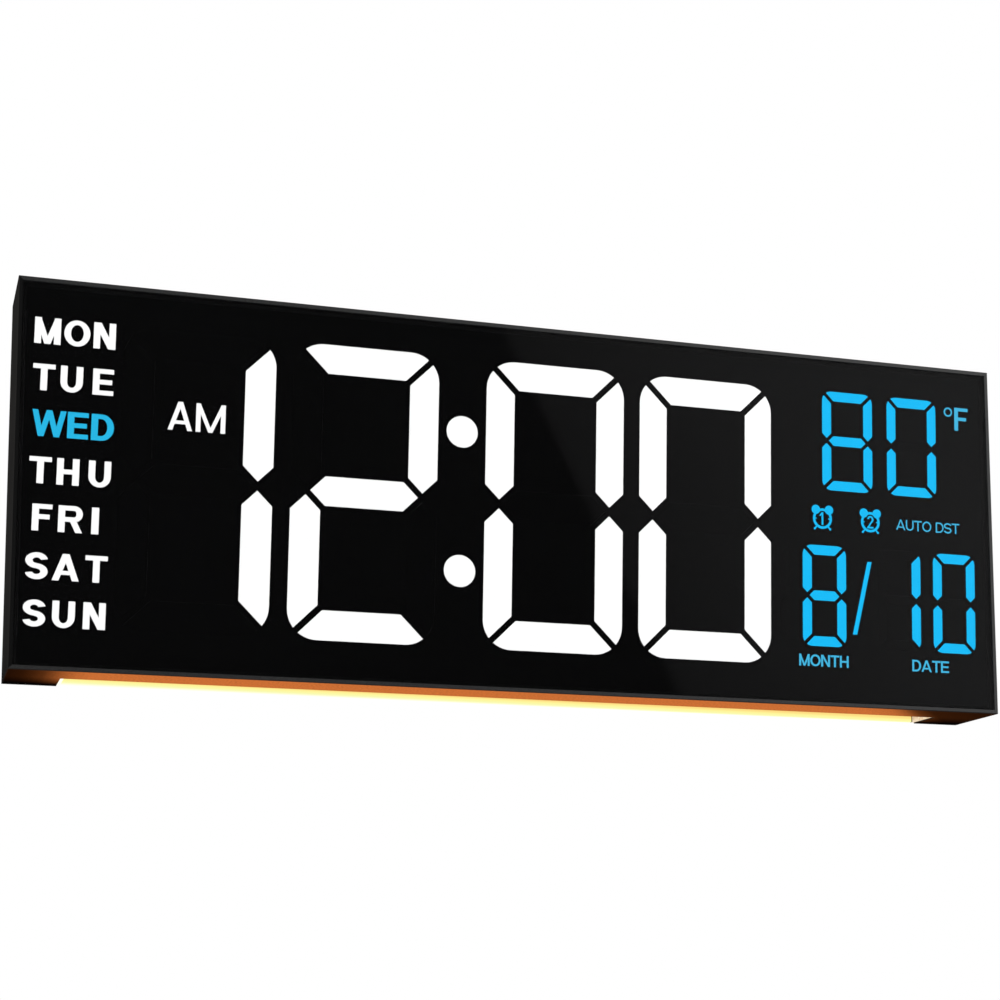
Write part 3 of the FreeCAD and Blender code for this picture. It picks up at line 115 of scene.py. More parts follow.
def tint(tree, value, dark, light):
    """A colour between dark and light, each of them a colour or a socket that gives one."""
    mix = node(tree, "ShaderNodeMix", {"Factor": value}, data_type="RGBA")
    for place, colour in ((6, dark), (7, light)):
        if isinstance(colour, tuple):
            mix.inputs[place].default_value = (*colour, 1)
        else:
            tree.links.new(colour, mix.inputs[place])
    return mix.outputs[2]


def bump(tree, height, depth, normal=None):
    """A bump of depth metres from a height between 0 and 1."""
    made = node(tree, "ShaderNodeBump", {"Height": height, "Strength": 1.0, "Distance": depth})
    if normal is not None:
        tree.links.new(normal, made.inputs["Normal"])
    return made.outputs["Normal"]


def shade(colour, share):
    """A colour made darker or lighter by a share."""
    return tuple(share * part for part in colour)


# Materials

def moulded(name, colour, roughness=0.5, grain=0.4 * MM, depth=0.01 * MM, level=0.5, edge=0.25 * MM):
    """Moulded plastic with a fine spark-eroded grain and softened edges."""
    material, shader = new_material(name)
    tree = material.node_tree
    cloud = noise(tree, 40 * MM, 3.0)
    fine = noise(tree, grain, 2.0)
    colours = tint(tree, spread(tree, cloud, 0, 1), shade(colour, 0.9), shade(colour, 1.1))
    tree.links.new(colours, shader.inputs["Base Color"])
    tree.links.new(spread(tree, fine, roughness - 0.06, roughness + 0.06), shader.inputs["Roughness"])
    soft = node(tree, "ShaderNodeBevel", {"Radius": edge}, samples=4).outputs["Normal"]
    tree.links.new(bump(tree, fine, depth, soft), shader.inputs["Normal"])
    shader.inputs["Specular IOR Level"].default_value = level
    return material


def metal(name, colour, roughness=0.3, stretch=(1, 1, 12)):
    """Metal with faint machining lines and darker stains."""
    material, shader = new_material(name)
    tree = material.node_tree
    lines = noise(tree, 0.5 * MM, 3.0, stretch)
    stains = noise(tree, 4 * MM, 2.0)
    tree.links.new(tint(tree, stains, shade(colour, 0.75), colour), shader.inputs["Base Color"])
    tree.links.new(spread(tree, lines, roughness - 0.08, roughness + 0.1), shader.inputs["Roughness"])
    tree.links.new(bump(tree, lines, 0.004 * MM), shader.inputs["Normal"])
    shader.inputs["Metallic"].default_value = 1.0
    return material


def circuit(name):
    """Solder mask over faint copper tracks."""
    material, shader = new_material(name)
    tree = material.node_tree
    mapping = node(tree, "ShaderNodeMapping", {"Vector": place_of(tree), "Rotation": (math.pi / 2, 0, 0)})
    inputs = {"Vector": mapping.outputs["Vector"], "Scale": 260.0, "Mortar Size": 0.12, "Brick Width": 1.7,
              "Row Height": 0.33}
    tracks = node(tree, "ShaderNodeTexBrick", inputs).outputs["Fac"]
    colours = tint(tree, tracks, (0.008, 0.075, 0.028), (0.02, 0.16, 0.06))
    tree.links.new(colours, shader.inputs["Base Color"])
    tree.links.new(spread(tree, noise(tree, 3 * MM), 0.25, 0.4), shader.inputs["Roughness"])
    tree.links.new(bump(tree, tracks, 0.03 * MM), shader.inputs["Normal"])
    return material


def smoked_panel(name):
    """Polished smoked acrylic: dark, and see-through to what shines behind it."""
    material, shader = new_material(name)
    tree = material.node_tree
    smears = noise(tree, 60 * MM, 3.0)
    tree.links.new(tint(tree, smears, (0.0016, 0.0016, 0.0018), (0.0022, 0.0022, 0.0024)),
                   shader.inputs["Base Color"])
    tree.links.new(spread(tree, smears, 0.015, 0.03), shader.inputs["Roughness"])
    shader.inputs["Specular IOR Level"].default_value = PANEL_LEVEL
    shader.inputs["Alpha"].default_value = PANEL_ALPHA
    return material


def glowing(name, colour):
    """A milky lens or print, evenly lit from behind and seen through the panel."""
    material, shader = new_material(name)
    tree = material.node_tree
    cloud = noise(tree, 9 * MM, 1.0)
    tree.links.new(tint(tree, spread(tree, cloud, 0, 1), shade(colour, 0.97), colour),
                   shader.inputs["Emission Color"])
    shader.inputs["Emission Strength"].default_value = LIT_STRENGTH
    shader.inputs["Base Color"].default_value = (*shade(colour, 0.3), 1)
    shader.inputs["Roughness"].default_value = 0.6
    return material


def ramp(tree, value, start, end, stops):
    """A colour ramp along a value; the stops are (place between start and end, colour)."""
    made = node(tree, "ShaderNodeValToRGB", {"Fac": spread(tree, value, 0, 1, start, end)})
    elements = made.color_ramp.elements
    while len(elements) < len(stops):
        elements.new(0.5)
    for element, (place, colour) in zip(elements, stops):
        element.position = (place - start) / (end - start)
        element.color = (*colour, 1)
    return made.outputs["Color"]


def along(tree, axis):
    """Places along one axis, in metres."""
    return node(tree, "ShaderNodeSeparateXYZ", {"Vector": place_of(tree)}).outputs[axis]


def times(tree, *values):
    """The product of some values."""
    result = values[0]
    for value in values[1:]:
        result = node(tree, "ShaderNodeMath", {0: result, 1: value}, operation="MULTIPLY").outputs[0]
    return result


def fade(tree, value, shares, unit=1.0):
    """A share along a value, from pairs of a place in some unit and the share there."""
    stops = [(place * unit, (share, share, share)) for place, share in shares]
    return ramp(tree, value, stops[0][0], stops[-1][0], stops)


# How bright the painted warm glow on the underside is towards the left end, and towards the right end along a
# line that slants to the rear, in millimetres
LEFT_FADE = ((-210.0, 0.025), (-204.0, 0.045), (-200.0, 0.085), (-196.0, 0.16),
             (-192.0, 0.36), (-189.0, 0.58), (-184.0, 0.85), (-178.0, 1.0))
RIGHT_FADE = ((146.0, 1.0), (158.0, 0.85), (162.0, 0.68), (165.0, 0.5), (168.0, 0.3), (171.0, 0.17),
              (178.0, 0.06), (204.0, 0.035))
RIGHT_SLANT = 0.8
SLANT_FROM = -17.0 * MM

# How bright the painted glow is at the near and far end of two stretches towards the rear, and where they
# start and end
REAR_NEAR = (1.0, 0.3, -2.0 * MM, 9.0 * MM)
REAR_FAR = (1.0, 0.03, 9.0 * MM, 14.0 * MM)

# The painted glow's grain: the size and stretch of the lumps, and the shares of light at two heights of their
# noise
GRAIN_SIZE = 0.6 * MM
GRAIN_STRETCH = (0.6, 1, 1)
GRAIN_LIGHT = (0.76, 1.26)
GRAIN_RANGE = (0.35, 0.65)


def paint_warm_underside(name, base):
    """The case's grained plastic under the night light, with a painted warm glow that stands in for the light
    grazing it.
    """
    material = base.copy()
    material.name = name
    tree = material.node_tree
    shader = tree.nodes["Principled BSDF"]
    across = along(tree, "X")
    deep = along(tree, "Y")
    lumps = noise(tree, GRAIN_SIZE, 3.0, GRAIN_STRETCH)
    grain = spread(tree, lumps, *GRAIN_LIGHT, *GRAIN_RANGE)
    behind = node(tree, "ShaderNodeMath", {0: deep, 1: SLANT_FROM}, operation="SUBTRACT").outputs[0]
    slanted = node(tree, "ShaderNodeMath", {0: behind, 1: -RIGHT_SLANT, 2: across}, operation="MULTIPLY_ADD")
    left = fade(tree, across, LEFT_FADE, MM)
    right = fade(tree, slanted.outputs[0], RIGHT_FADE, MM)
    rear = times(tree, spread(tree, deep, *REAR_NEAR), spread(tree, deep, *REAR_FAR))
    shader.inputs["Emission Color"].default_value = (*AMBER_LIGHT, 1)
    tree.links.new(times(tree, grain, left, right, rear), shader.inputs["Emission Strength"])
    shader.inputs["Specular IOR Level"].default_value = 0.02
    return material


# The night light's colours up its diffuser, in millimetres of height, and how they sink to the right
GLOW_STOPS = ((0.0, (1.0, 1.0, 0.86)), (0.5, (0.96, 0.97, 0.6)), (1.0, (0.93, 0.94, 0.42)),
              (1.9, (0.98, 0.9, 0.32)), (2.6, (0.97, 0.74, 0.24)), (5.0, (0.92, 0.62, 0.18)),
              (13.0, (0.72, 0.4, 0.1)))
GLOW_DROP = 0.0032

# The cream inside of its right end, behind a narrow dim brown line painted as the shade of a gap, and where
# both start
END_GLOW = (0.9, 0.76, 0.56)
END_SHADE = (0.62, 0.42, 0.26)
PAINTED_GAP_SHADE = (0.05, 0.022, 0.01)
GAP_START = 186.9 * MM
END_START = 187.4 * MM
EDGE_SOFT = 0.06 * MM
DIFFUSER_COLOUR = (0.04, 0.038, 0.03)


def milky_glow(name):
    """The diffuser: amber at the top, near white at its lower edge and cream at its right end, with a painted
    shade line before that end.
    """
    material, shader = new_material(name)
    tree = material.node_tree
    across = along(tree, "X")
    inputs = {0: across, 1: GLOW_DROP, 2: along(tree, "Z")}
    height = node(tree, "ShaderNodeMath", inputs, operation="MULTIPLY_ADD")
    stops = [(place * MM, colour) for place, colour in GLOW_STOPS]
    glow = ramp(tree, height.outputs[0], stops[0][0], stops[-1][0], stops)
    uneven = tint(tree, spread(tree, noise(tree, 1.5 * MM), 0, 1), END_SHADE, END_GLOW)
    # Painted shade: a narrow brown line in the glow, just before the diffuser's right end
    gap = spread(tree, across, 0, 1, GAP_START, GAP_START + EDGE_SOFT)
    end = spread(tree, across, 0, 1, END_START, END_START + EDGE_SOFT)
    coloured = tint(tree, end, tint(tree, gap, glow, PAINTED_GAP_SHADE), uneven)
    tree.links.new(coloured, shader.inputs["Emission Color"])
    shader.inputs["Emission Strength"].default_value = 1.0
    shader.inputs["Base Color"].default_value = (*DIFFUSER_COLOUR, 1)
    shader.inputs["Specular IOR Level"].default_value = 0.2
    tree.links.new(spread(tree, noise(tree, 2 * MM), 0.35, 0.5), shader.inputs["Roughness"])
    return material


case_black = moulded("case_black", BLACK_PLASTIC, roughness=0.55, level=0.1)
# Painted shade: a matt copy of the case plastic without sheen, so the sides and the rim's outer bevel read
# darker
matt_shaded_side = moulded("matt_shaded_side", (0.022, 0.0212, 0.0205), roughness=0.6, level=0.0)
case_rim = moulded("case_rim", (0.018, 0.018, 0.0182), roughness=0.3, depth=0.003 * MM, level=0.6,
                   edge=0.1 * MM)
rim_shadow = moulded("rim_shadow", (0.003, 0.003, 0.003), roughness=0.5, level=0.1)
# Painted shade: a darker copy of the case plastic for the underside, beneath its painted glow
shaded_base_below = moulded("shaded_base_below", (0.012, 0.0112, 0.0108), roughness=0.6, level=0.02)
MATERIALS = {
    "case_plastic": case_black,
    "leg_plastic": moulded("leg_black", (0.016, 0.016, 0.0165), roughness=0.45, level=0.35),
    "panel_acrylic": smoked_panel("smoked_acrylic"),
    "adhesive_tape": moulded("foam_tape", (0.01, 0.01, 0.01), roughness=0.8, grain=0.8 * MM),
    "segment_lens": moulded("dark_lens", UNLIT, roughness=0.6, level=0.0),
    "blue_lens": moulded("dark_lens_small", UNLIT, roughness=0.6, level=0.0),
    "legend_film": moulded("black_print", UNLIT, roughness=0.6, level=0.0),
    "reflector_plastic": moulded("reflector_white", (0.75, 0.75, 0.73), roughness=0.5),
    "circuit_board": circuit("solder_mask"),
    "lamp_resin": moulded("lamp_resin", (0.75, 0.62, 0.18), roughness=0.3),
    "chip_resin": moulded("chip_resin", (0.012, 0.012, 0.013), roughness=0.55),
    "screw_steel": metal("black_steel", (0.16, 0.16, 0.165), roughness=0.35),
    "pin_steel": metal("pin_steel", (0.6, 0.6, 0.61), roughness=0.25, stretch=(12, 1, 1)),
    "milky_plastic": milky_glow("milky_glow"),
    "button_plastic": moulded("button_grey", (0.03, 0.03, 0.031), roughness=0.45),
    "switch_plastic": moulded("switch_black", (0.02, 0.02, 0.02), roughness=0.4),
    "holder_plastic": moulded("holder_black", (0.015, 0.015, 0.015), roughness=0.5),
    "cell_steel": metal("cell_steel", (0.62, 0.61, 0.58), roughness=0.28),
    "jack_plastic": moulded("jack_black", (0.01, 0.01, 0.01), roughness=0.3),
    "contact_brass": metal("contact_brass", (0.75, 0.56, 0.26), roughness=0.25),
    "capacitor_can": metal("capacitor_can", (0.75, 0.75, 0.78), roughness=0.3),
    "sensor_resin": moulded("sensor_resin", (0.012, 0.012, 0.014), roughness=0.35),
    "plug_plastic": moulded("plug_white", (0.7, 0.68, 0.62), roughness=0.45),
    "wire_sleeve": moulded("wire_grey", (0.2, 0.2, 0.21), roughness=0.4),
}

lit_white = glowing("lit_white", WHITE_LIGHT)
lit_blue = glowing("lit_blue", BLUE_LIGHT)
lit_today = glowing("lit_today", TODAY_LIGHT)
lit_pale_blue = glowing("lit_pale_blue", PALE_BLUE_LIGHT)
# Painted light: the underside's warm glow is an emission in its material, not light cast by the night light
painted_glow_below = paint_warm_underside("painted_glow_below", shaded_base_below)
black_edge = moulded("black_edge", UNLIT, roughness=0.7, level=0.0)
button_print = moulded("button_print", (0.5, 0.5, 0.5), roughness=0.5, level=0.3)


def dress_cad_nodes():
    """Give every node the material of its slot."""
    for row in frame["record"]["subparts"]:
        item = frame["nodes"][row["node"]]
        item.data.materials.clear()
        item.data.materials.append(MATERIALS[row["material_slot"]])
        for face in item.data.polygons:
            face.material_index = 0


def paint(name, material, chosen):
    """Paint the chosen faces of a node with one more material."""
    mesh = frame["nodes"][name].data
    mesh.materials.append(material)
    for face in mesh.polygons:
        if chosen(face):
            face.material_index = len(mesh.materials) - 1


# Which faces are outer ones: how squarely they look out, between which two turns the bevel of the rim does,
# and how far inside the case's box they may lie
SQUARE = 0.9
CHAMFER_TURN = (-0.95, -0.3)
OUTER_REACH = 0.5 * MM
RIM_REACH = 0.1 * MM


def faces_front(face):
    return face.normal.y < -SQUARE


def faces_down(face):
    return face.normal.z < -SQUARE and face.center.z < OUTER_REACH


def faces_sideways(face):
    return abs(face.normal.x) > SQUARE and abs(face.center.x) > CASE_HIGH.x - OUTER_REACH


def on_rim(face):
    return faces_front(face) and face.center.y < CASE_LOW.y + RIM_REACH


def on_outer_chamfer(face):
    """The small bevel round the outside of the rim."""
    front, back = CHAMFER_TURN
    reach = max(abs(face.center.x) - CASE_HIGH.x, face.center.z - CASE_HIGH.z)
    return front < face.normal.y < back and reach > -RIM_WIDTH / 2


def on_left_rim(face):
    return on_rim(face) and face.center.x < CASE_LOW.x + RIM_WIDTH


def paint_case():
    """The case: a darker matt side and outer bevel as painted shade, a glossier rim, painted shade on the
    left rim, and an underside with a painted warm glow where the night light grazes it.
    """
    for name in ("front_frame", "rear_housing"):
        paint(name, matt_shaded_side, faces_sideways)
        paint(name, painted_glow_below, faces_down)
    paint("front_frame", case_rim, on_rim)
    paint("front_frame", matt_shaded_side, on_outer_chamfer)
    paint("front_frame", rim_shadow, on_left_rim)
    paint("reflector", black_edge, faces_front)


# Lit segments of each digit from left to right, by their usual letters: 12:00, 80 degrees, 8/10
LIT = {
    "hour_tens_segments": (lit_white, ("bc",)),
    "hour_segments": (lit_white, ("abged",)),
    "minute_tens_segments": (lit_white, ("abcdef",)),
    "minute_segments": (lit_white, ("abcdef",)),
    "temperature_segments": (lit_blue, ("abcdefg", "abcdef")),
    "month_segments": (lit_blue, ("", "abcdefg")),
    "date_segments": (lit_blue, ("bc", "abcdef")),
}
SEGMENTS = 7
SAME_CORNER = 0.01 * MM


def limits(points):
    """The lowest and the highest corner of some points."""
    low = Vector([min(point[axis] for point in points) for axis in range(3)])
    high = Vector([max(point[axis] for point in points) for axis in range(3)])
    return low, high


def solids_of(mesh):
    """The separate solids of a mesh: the middle and the face indices of each."""
    corner = [tuple(round(part / SAME_CORNER) for part in vert.co) for vert in mesh.vertices]
    parent = {}

    def root(key):
        while parent.setdefault(key, key) != key:
            key = parent[key]
        return key

    for face in mesh.polygons:
        first = root(corner[face.vertices[0]])
        for index in face.vertices[1:]:
            parent[root(corner[index])] = first
    groups = {}
    for face in mesh.polygons:
        groups.setdefault(root(corner[face.vertices[0]]), []).append(face)
    found = []
    for faces in groups.values():
        points = [mesh.vertices[index].co for face in faces for index in face.vertices]
        low, high = limits(points)
        found.append(((low + high) / 2, [face.index for face in faces]))
    return found


def letter_of(place, low, high):
    """The usual letter of a segment, from its place among the segments of its digit."""
    across = (place.x - low.x) / (high.x - low.x)
    up = (place.z - low.z) / (high.z - low.z)
    if 0.3 < across < 0.7:
        return "d" if up < 0.25 else "a" if up > 0.75 else "g"
    if across > 0.7:
        return "c" if up < 0.5 else "b"
    return "e" if up < 0.5 else "f"


def light_segments():
    """Light the segments that show the time, temperature and date, the colon and the slash."""
    for name, (material, digits) in LIT.items():
        mesh = frame["nodes"][name].data
        solids = sorted(solids_of(mesh), key=lambda solid: solid[0].x)
        lit_faces = set()
        for letters in reversed(digits):
            digit = solids[-SEGMENTS:]
            solids = solids[:-SEGMENTS]
            low, high = limits([middle for middle, faces in digit])
            for middle, faces in digit:
                if letter_of(middle, low, high) in letters:
                    lit_faces.update(faces)
        paint(name, material, lambda face: face.index in lit_faces)
    for name, material in (("colon_dots", lit_white), ("date_slash", lit_blue)):
        mesh = frame["nodes"][name].data
        mesh.materials.clear()
        mesh.materials.append(material)


# Strokes of letters, digits and icons, in millimetres; every outline runs counter-clockwise

BOW_STEP = 9
DISC_CORNERS = 24


def slab(left, low, right, high):
    """A level or upright stroke."""
    return [(left, low), (right, low), (right, high), (left, high)]


def bar(x_low, low, x_high, high, width):
    """A slanted stroke with level ends."""
    half = width / 2
    return [(x_low - half, low), (x_low + half, low), (x_high + half, high), (x_high - half, high)]


def bow(x, z, reach_x, reach_z, upright, level, start, end):
    """Part of an oval ring between two angles in degrees."""
    steps = max(2, math.ceil((end - start) / BOW_STEP))
    angles = [math.radians(start + (end - start) * step / steps) for step in range(steps + 1)]
    outer = [(x + reach_x * math.cos(a), z + reach_z * math.sin(a)) for a in angles]
    inner_x = reach_x - upright
    inner_z = reach_z - level
    inner = [(x + inner_x * math.cos(a), z + inner_z * math.sin(a)) for a in reversed(angles)]
    return outer + inner


def turn(count):
    """The angles of a full turn in equal steps."""
    return [math.tau * step / count for step in range(count)]


def disc(x, z, radius):
    return [(x + radius * math.cos(a), z + radius * math.sin(a)) for a in turn(DISC_CORNERS)]


def ring(x, z, reach_x, reach_z, upright, level):
    """An oval ring in two halves."""
    return [bow(x, z, reach_x, reach_z, upright, level, start, start + 180) for start in (0, 180)]


def strokes(letter, w, h, v, s):
    """The strokes of a capital or digit, w wide and h high; its uprights are v wide, its levels s high."""
    mid = (h - s) / 2
    stem = slab(0, 0, v, h)
    far_stem = slab(w - v, 0, w, h)
    top = slab(0, h - s, w, h)
    base = slab(0, 0, w, s)
    loop = (h + s) / 4
    if letter == "A":
        return [bar(v / 2, 0, w / 2, h, v), bar(w - v / 2, 0, w / 2, h, v),
                slab(0.2 * w, 0.22 * h, 0.8 * w, 0.22 * h + 0.85 * s)]
    if letter == "D":
        bend = 0.55 * w
        return [stem, slab(0, 0, w - bend, s), slab(0, h - s, w - bend, h),
                bow(w - bend, h / 2, bend, h / 2, v, s, -90, 90)]
    if letter == "E":
        return [stem, top, base, slab(0, mid, 0.93 * w, mid + s)]
    if letter == "F":
        return [stem, top, slab(0, 0.44 * h, 0.88 * w, 0.44 * h + s)]
    if letter == "H":
        return [stem, far_stem, slab(0, mid, w, mid + s)]
    if letter == "I":
        return [slab(0, 0, w, h)]
    if letter == "M":
        return [stem, far_stem, bar(w / 2, 0, 0.45 * v, h, 0.9 * v), bar(w / 2, 0, w - 0.45 * v, h, 0.9 * v)]
    if letter == "N":
        return [stem, far_stem, bar(w - 0.55 * v, 0, 0.55 * v, h, 1.1 * v)]
    if letter == "O":
        return ring(w / 2, h / 2, w / 2, h / 2, v, s)
    if letter == "R":
        waist = 0.4 * h
        bend = (h - waist) / 2
        return [stem, slab(0, waist, w - bend, waist + s), slab(0, h - s, w - bend, h),
                bow(w - bend, waist + bend, bend, bend, 0.95 * v, s, -90, 90),
                bar(w - 0.5 * v, 0, 0.58 * w, waist + s / 2, v)]
    if letter == "S":
        return [bow(w / 2, h - loop, w / 2, loop, 1.06 * v, 1.08 * s, 12, 270),
                bow(w / 2, loop, w / 2, loop, 1.06 * v, 1.08 * s, -168, 90)]
    if letter == "T":
        return [top, slab((w - v) / 2, 0, (w + v) / 2, h)]
    if letter == "U":
        bend = 0.4 * h
        return [slab(0, bend, v, h), slab(w - v, bend, w, h),
                bow(w / 2, bend, w / 2, bend, v, s, 180, 360)]
    if letter == "W":
        leg = 0.84 * v
        foot = 0.27 * w
        return [bar(foot, 0, leg / 2, h, leg), bar(foot, 0, w / 2, h, leg),
                bar(w - foot, 0, w / 2, h, leg), bar(w - foot, 0, w - leg / 2, h, leg)]
    if letter == "1":
        return [slab(w / 2 - v / 2, 0, w / 2 + v / 2, h), bar(0.12 * w, 0.72 * h, w / 2, h, v)]
    if letter == "2":
        bend = 0.3 * h
        return [base, bow(w / 2, h - bend, w / 2, bend, v, s, -30, 170),
                bar(v / 2, s / 2, 0.8 * w, 0.6 * h, v)]
    raise ValueError(letter)


# Width of each capital as a share of its height
WIDTHS = {"A": 0.97, "D": 0.83, "E": 0.76, "F": 0.72, "H": 0.81, "I": 0.264, "M": 0.95, "N": 0.81, "O": 0.95,
          "R": 0.88, "S": 0.81, "T": 0.806, "U": 0.815, "W": 1.23}


# Lettering in millimetres: the height, the width of upright strokes and the height of level ones
WEEKDAY_TYPE = (10.45, 2.55, 1.85)
HALF_DAY_TYPE = (11.5, 1.85, 1.65)
STATUS_TYPE = (4.6, 0.62, 0.6)
LABEL_TYPE = (5.1, 0.9, 0.8)
UNIT_TYPE = (10.4, 1.85, 1.5)


def moved(outline, x, z):
    return [(x + point[0], z + point[1]) for point in outline]


def word(letters, left, low, lettering, gap=0.0, widths=WIDTHS):
    """The strokes of a word that starts at x = left and stands on z = low."""
    height, upright, level = lettering
    outlines = []
    for letter in letters:
        width = height * widths[letter]
        outlines += [moved(outline, left, low) for outline in strokes(letter, width, height, upright, level)]
        left += width + gap
    return outlines


# Prints on the front of the film and on the buttons

ART_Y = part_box("legend_film")[0].y
ART_DEPTH = 0.05 * MM
JOINED = 0.001


def clean(mesh):
    """Drop loose points and make the faces look outwards."""
    work = bmesh.new()
    work.from_mesh(mesh)
    bmesh.ops.delete(work, geom=[vert for vert in work.verts if not vert.link_faces], context="VERTS")
    bmesh.ops.recalc_face_normals(work, faces=work.faces)
    work.to_mesh(mesh)
    work.free()


def thin_print(name, outlines, front_y, back_y, material, body):
    """One thin solid from outlines in millimetres, between two depths, without overlaps."""
    points = []
    faces = []
    for outline in outlines:
        faces.append(list(range(len(points), len(points) + len(outline))))
        points += [Vector(point) for point in outline]
    flat, _, pieces, _, _, outlines_of = delaunay_2d_cdt(points, [], faces, 0, JOINED, True)
    kept = [corners for corners, sources in zip(pieces, outlines_of) if sources]
    front = [Vector((point.x * MM, front_y, point.y * MM)) for point in flat]
    back = [Vector((point.x, back_y, point.z)) for point in front]
    count = len(front)
    shell = [list(corners) for corners in kept]
    shell += [[count + index for index in reversed(corners)] for corners in kept]
    sides = set()
    for corners in kept:
        sides.update(zip(corners, corners[1:] + corners[:1]))
    for start, end in sorted(sides):
        if (end, start) not in sides:
            shell.append([end, start, count + start, count + end])
    made = bpy.data.meshes.new(name)
    made.from_pydata(front + back, [], shell)
    clean(made)
    made.materials.append(material)
    item = bpy.data.objects.new(name, made)
    bpy.context.scene.collection.objects.link(item)
    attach(item, body)


def artwork(name, outlines, material):
    """Lay outlines on the film as one thin print, leaned like the digits about its own middle height."""
    heights = [point[1] for outline in outlines for point in outline]
    middle = (min(heights) + max(heights)) / 2
    leaned = [[(x + LEAN * (z - middle), z) for x, z in outline] for outline in outlines]
    thin_print(name, leaned, ART_Y - ART_DEPTH, ART_Y, material, "root")


def middle_of(name):
    """The middle of a node, in millimetres."""
    low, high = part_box(name)
    return (low + high) / 2 / MM


HOURS = middle_of("hour_tens_segments")
SLASH = middle_of("date_slash")
DEGREES = middle_of("temperature_segments")

# The weekday column: the height of each row above the digits' middle, and its letters beside the column
COLUMN_X = HOURS.x - 48.7
TODAY = "WED"
WEEKDAYS = {
    "MON": (55.25, (-10.75, 0.45, 10.95)),
    "TUE": (36.7, (-11.4, -0.9, 11.1)),
    "WED": (18.55, (-8.7, 2.2, 11.6)),
    "THU": (0.0, (-11.15, -0.75, 11.25)),
    "FRI": (-18.5, (-9.7, 0.95, 10.3)),
    "SAT": (-37.4, (-10.9, 0.0, 11.5)),
    "SUN": (-55.7, (-11.0, -0.05, 11.5)),
}


def weekday(name):
    """The strokes of one weekday word, each letter at its own place."""
    rise, places = WEEKDAYS[name]
    height = WEEKDAY_TYPE[0]
    column = COLUMN_X + LEAN * rise
    low = HOURS.z + rise - height / 2
    outlines = []
    for letter, place in zip(name, places):
        left = column + place - WIDTHS[letter] * height / 2
        outlines += word(letter, left, low, WEEKDAY_TYPE)
    return outlines


def make_weekdays():
    for name in WEEKDAYS:
        material, slot = (lit_today, "blue_lens") if name == TODAY else (lit_white, "segment_lens")
        artwork("weekday_" + name.lower(), weekday(name), material)


# The half-day word, from the middle of the first time digit
HALF_DAY_PLACE = (-11.7, 20.0)
HALF_DAY_GAP = 1.4
HALF_DAY_WIDTHS = {"A": 0.83, "M": 1.01}

# The status words and the labels: the letters, the left edge beside the slash and the gap between letters
STATUS_RISE = 1.55
STATUS_WORDS = (("AUTO", 17.1, 0.27), ("DST", 36.4, 0.17))
LABEL_DROP = 30.85
LABELS = {"month": ("MONTH", -30.4, 0.27), "date": ("DATE", 23.1, 0.2)}

# The unit, from the middle of the temperature digits
DEGREE_PLACE = (33.9, 17.7)
DEGREE_RADIUS = 2.1
DEGREE_STROKE = 0.7
UNIT_PLACE = (37.05, 9.6)
UNIT_WIDTHS = {"F": 0.64}

# The alarm icons: their places beside the slash, then their strokes from the middle of the dial
ICON_PLACES = {1: -18.1, 2: 4.7}
ICON_RISE = 4.0
DIAL_RADIUS = 4.5
DIAL_STROKE = 1.1
BELL_PLACE = (3.1, 3.9)
BELL_RADIUS = 2.0
FOOT_PLACE = (3.6, -4.5)
FOOT_RADIUS = 0.5
LEG_TOP = (2.4, -3.2)
LEG_WIDTH = 0.9
HOUR_MARK_PLACE = 3.2
HOUR_MARK_REACH = (0.5, 0.25)
ICON_DIGIT_SIZE = (3.0, 5.6)
ICON_DIGIT_STROKES = (0.8, 0.75)


def make_small_words():
    """The half-day word, the status words and the labels of month and date."""
    across, up = HALF_DAY_PLACE
    half_day = word("AM", HOURS.x + across, HOURS.z + up, HALF_DAY_TYPE, HALF_DAY_GAP, HALF_DAY_WIDTHS)
    artwork("half_day_word", half_day, lit_white)
    status = []
    for letters, start, gap in STATUS_WORDS:
        status += word(letters, SLASH.x + start, HOURS.z + STATUS_RISE, STATUS_TYPE, gap)
    artwork("status_word", status, lit_pale_blue)
    for name, (letters, start, gap) in LABELS.items():
        label = word(letters, SLASH.x + start, SLASH.z - LABEL_DROP, LABEL_TYPE, gap)
        artwork(name + "_word", label, lit_pale_blue)


def make_unit():
    """The degree sign and its letter."""
    across, up = DEGREE_PLACE
    outlines = ring(DEGREES.x + across, DEGREES.z + up, DEGREE_RADIUS, DEGREE_RADIUS, DEGREE_STROKE,
                    DEGREE_STROKE)
    across, up = UNIT_PLACE
    outlines += word("F", DEGREES.x + across, DEGREES.z + up, UNIT_TYPE, widths=UNIT_WIDTHS)
    artwork("temperature_unit", outlines, lit_pale_blue)


def icon_side(x, z, side):
    """The bell, the foot and the hour mark on one side of an alarm icon."""
    foot = (x + side * FOOT_PLACE[0], z + FOOT_PLACE[1])
    leg_top = (x + side * LEG_TOP[0], z + LEG_TOP[1])
    mark_x = x + side * HOUR_MARK_PLACE
    across, up = HOUR_MARK_REACH
    return [disc(x + side * BELL_PLACE[0], z + BELL_PLACE[1], BELL_RADIUS), disc(*foot, FOOT_RADIUS),
            bar(*foot, *leg_top, LEG_WIDTH), slab(mark_x - across, z - up, mark_x + across, z + up)]


def make_alarm_icons():
    """Two small bell clocks, each with its number on the dial."""
    z = HOURS.z + ICON_RISE
    width, height = ICON_DIGIT_SIZE
    for number, start in ICON_PLACES.items():
        x = SLASH.x + start
        outlines = ring(x, z, DIAL_RADIUS, DIAL_RADIUS, DIAL_STROKE, DIAL_STROKE)
        outlines += icon_side(x, z, -1) + icon_side(x, z, 1)
        digit = strokes(str(number), width, height, *ICON_DIGIT_STROKES)
        outlines += [moved(outline, x - width / 2, z - height / 2) for outline in digit]
        artwork(f"alarm_icon_{number}", outlines, lit_blue)


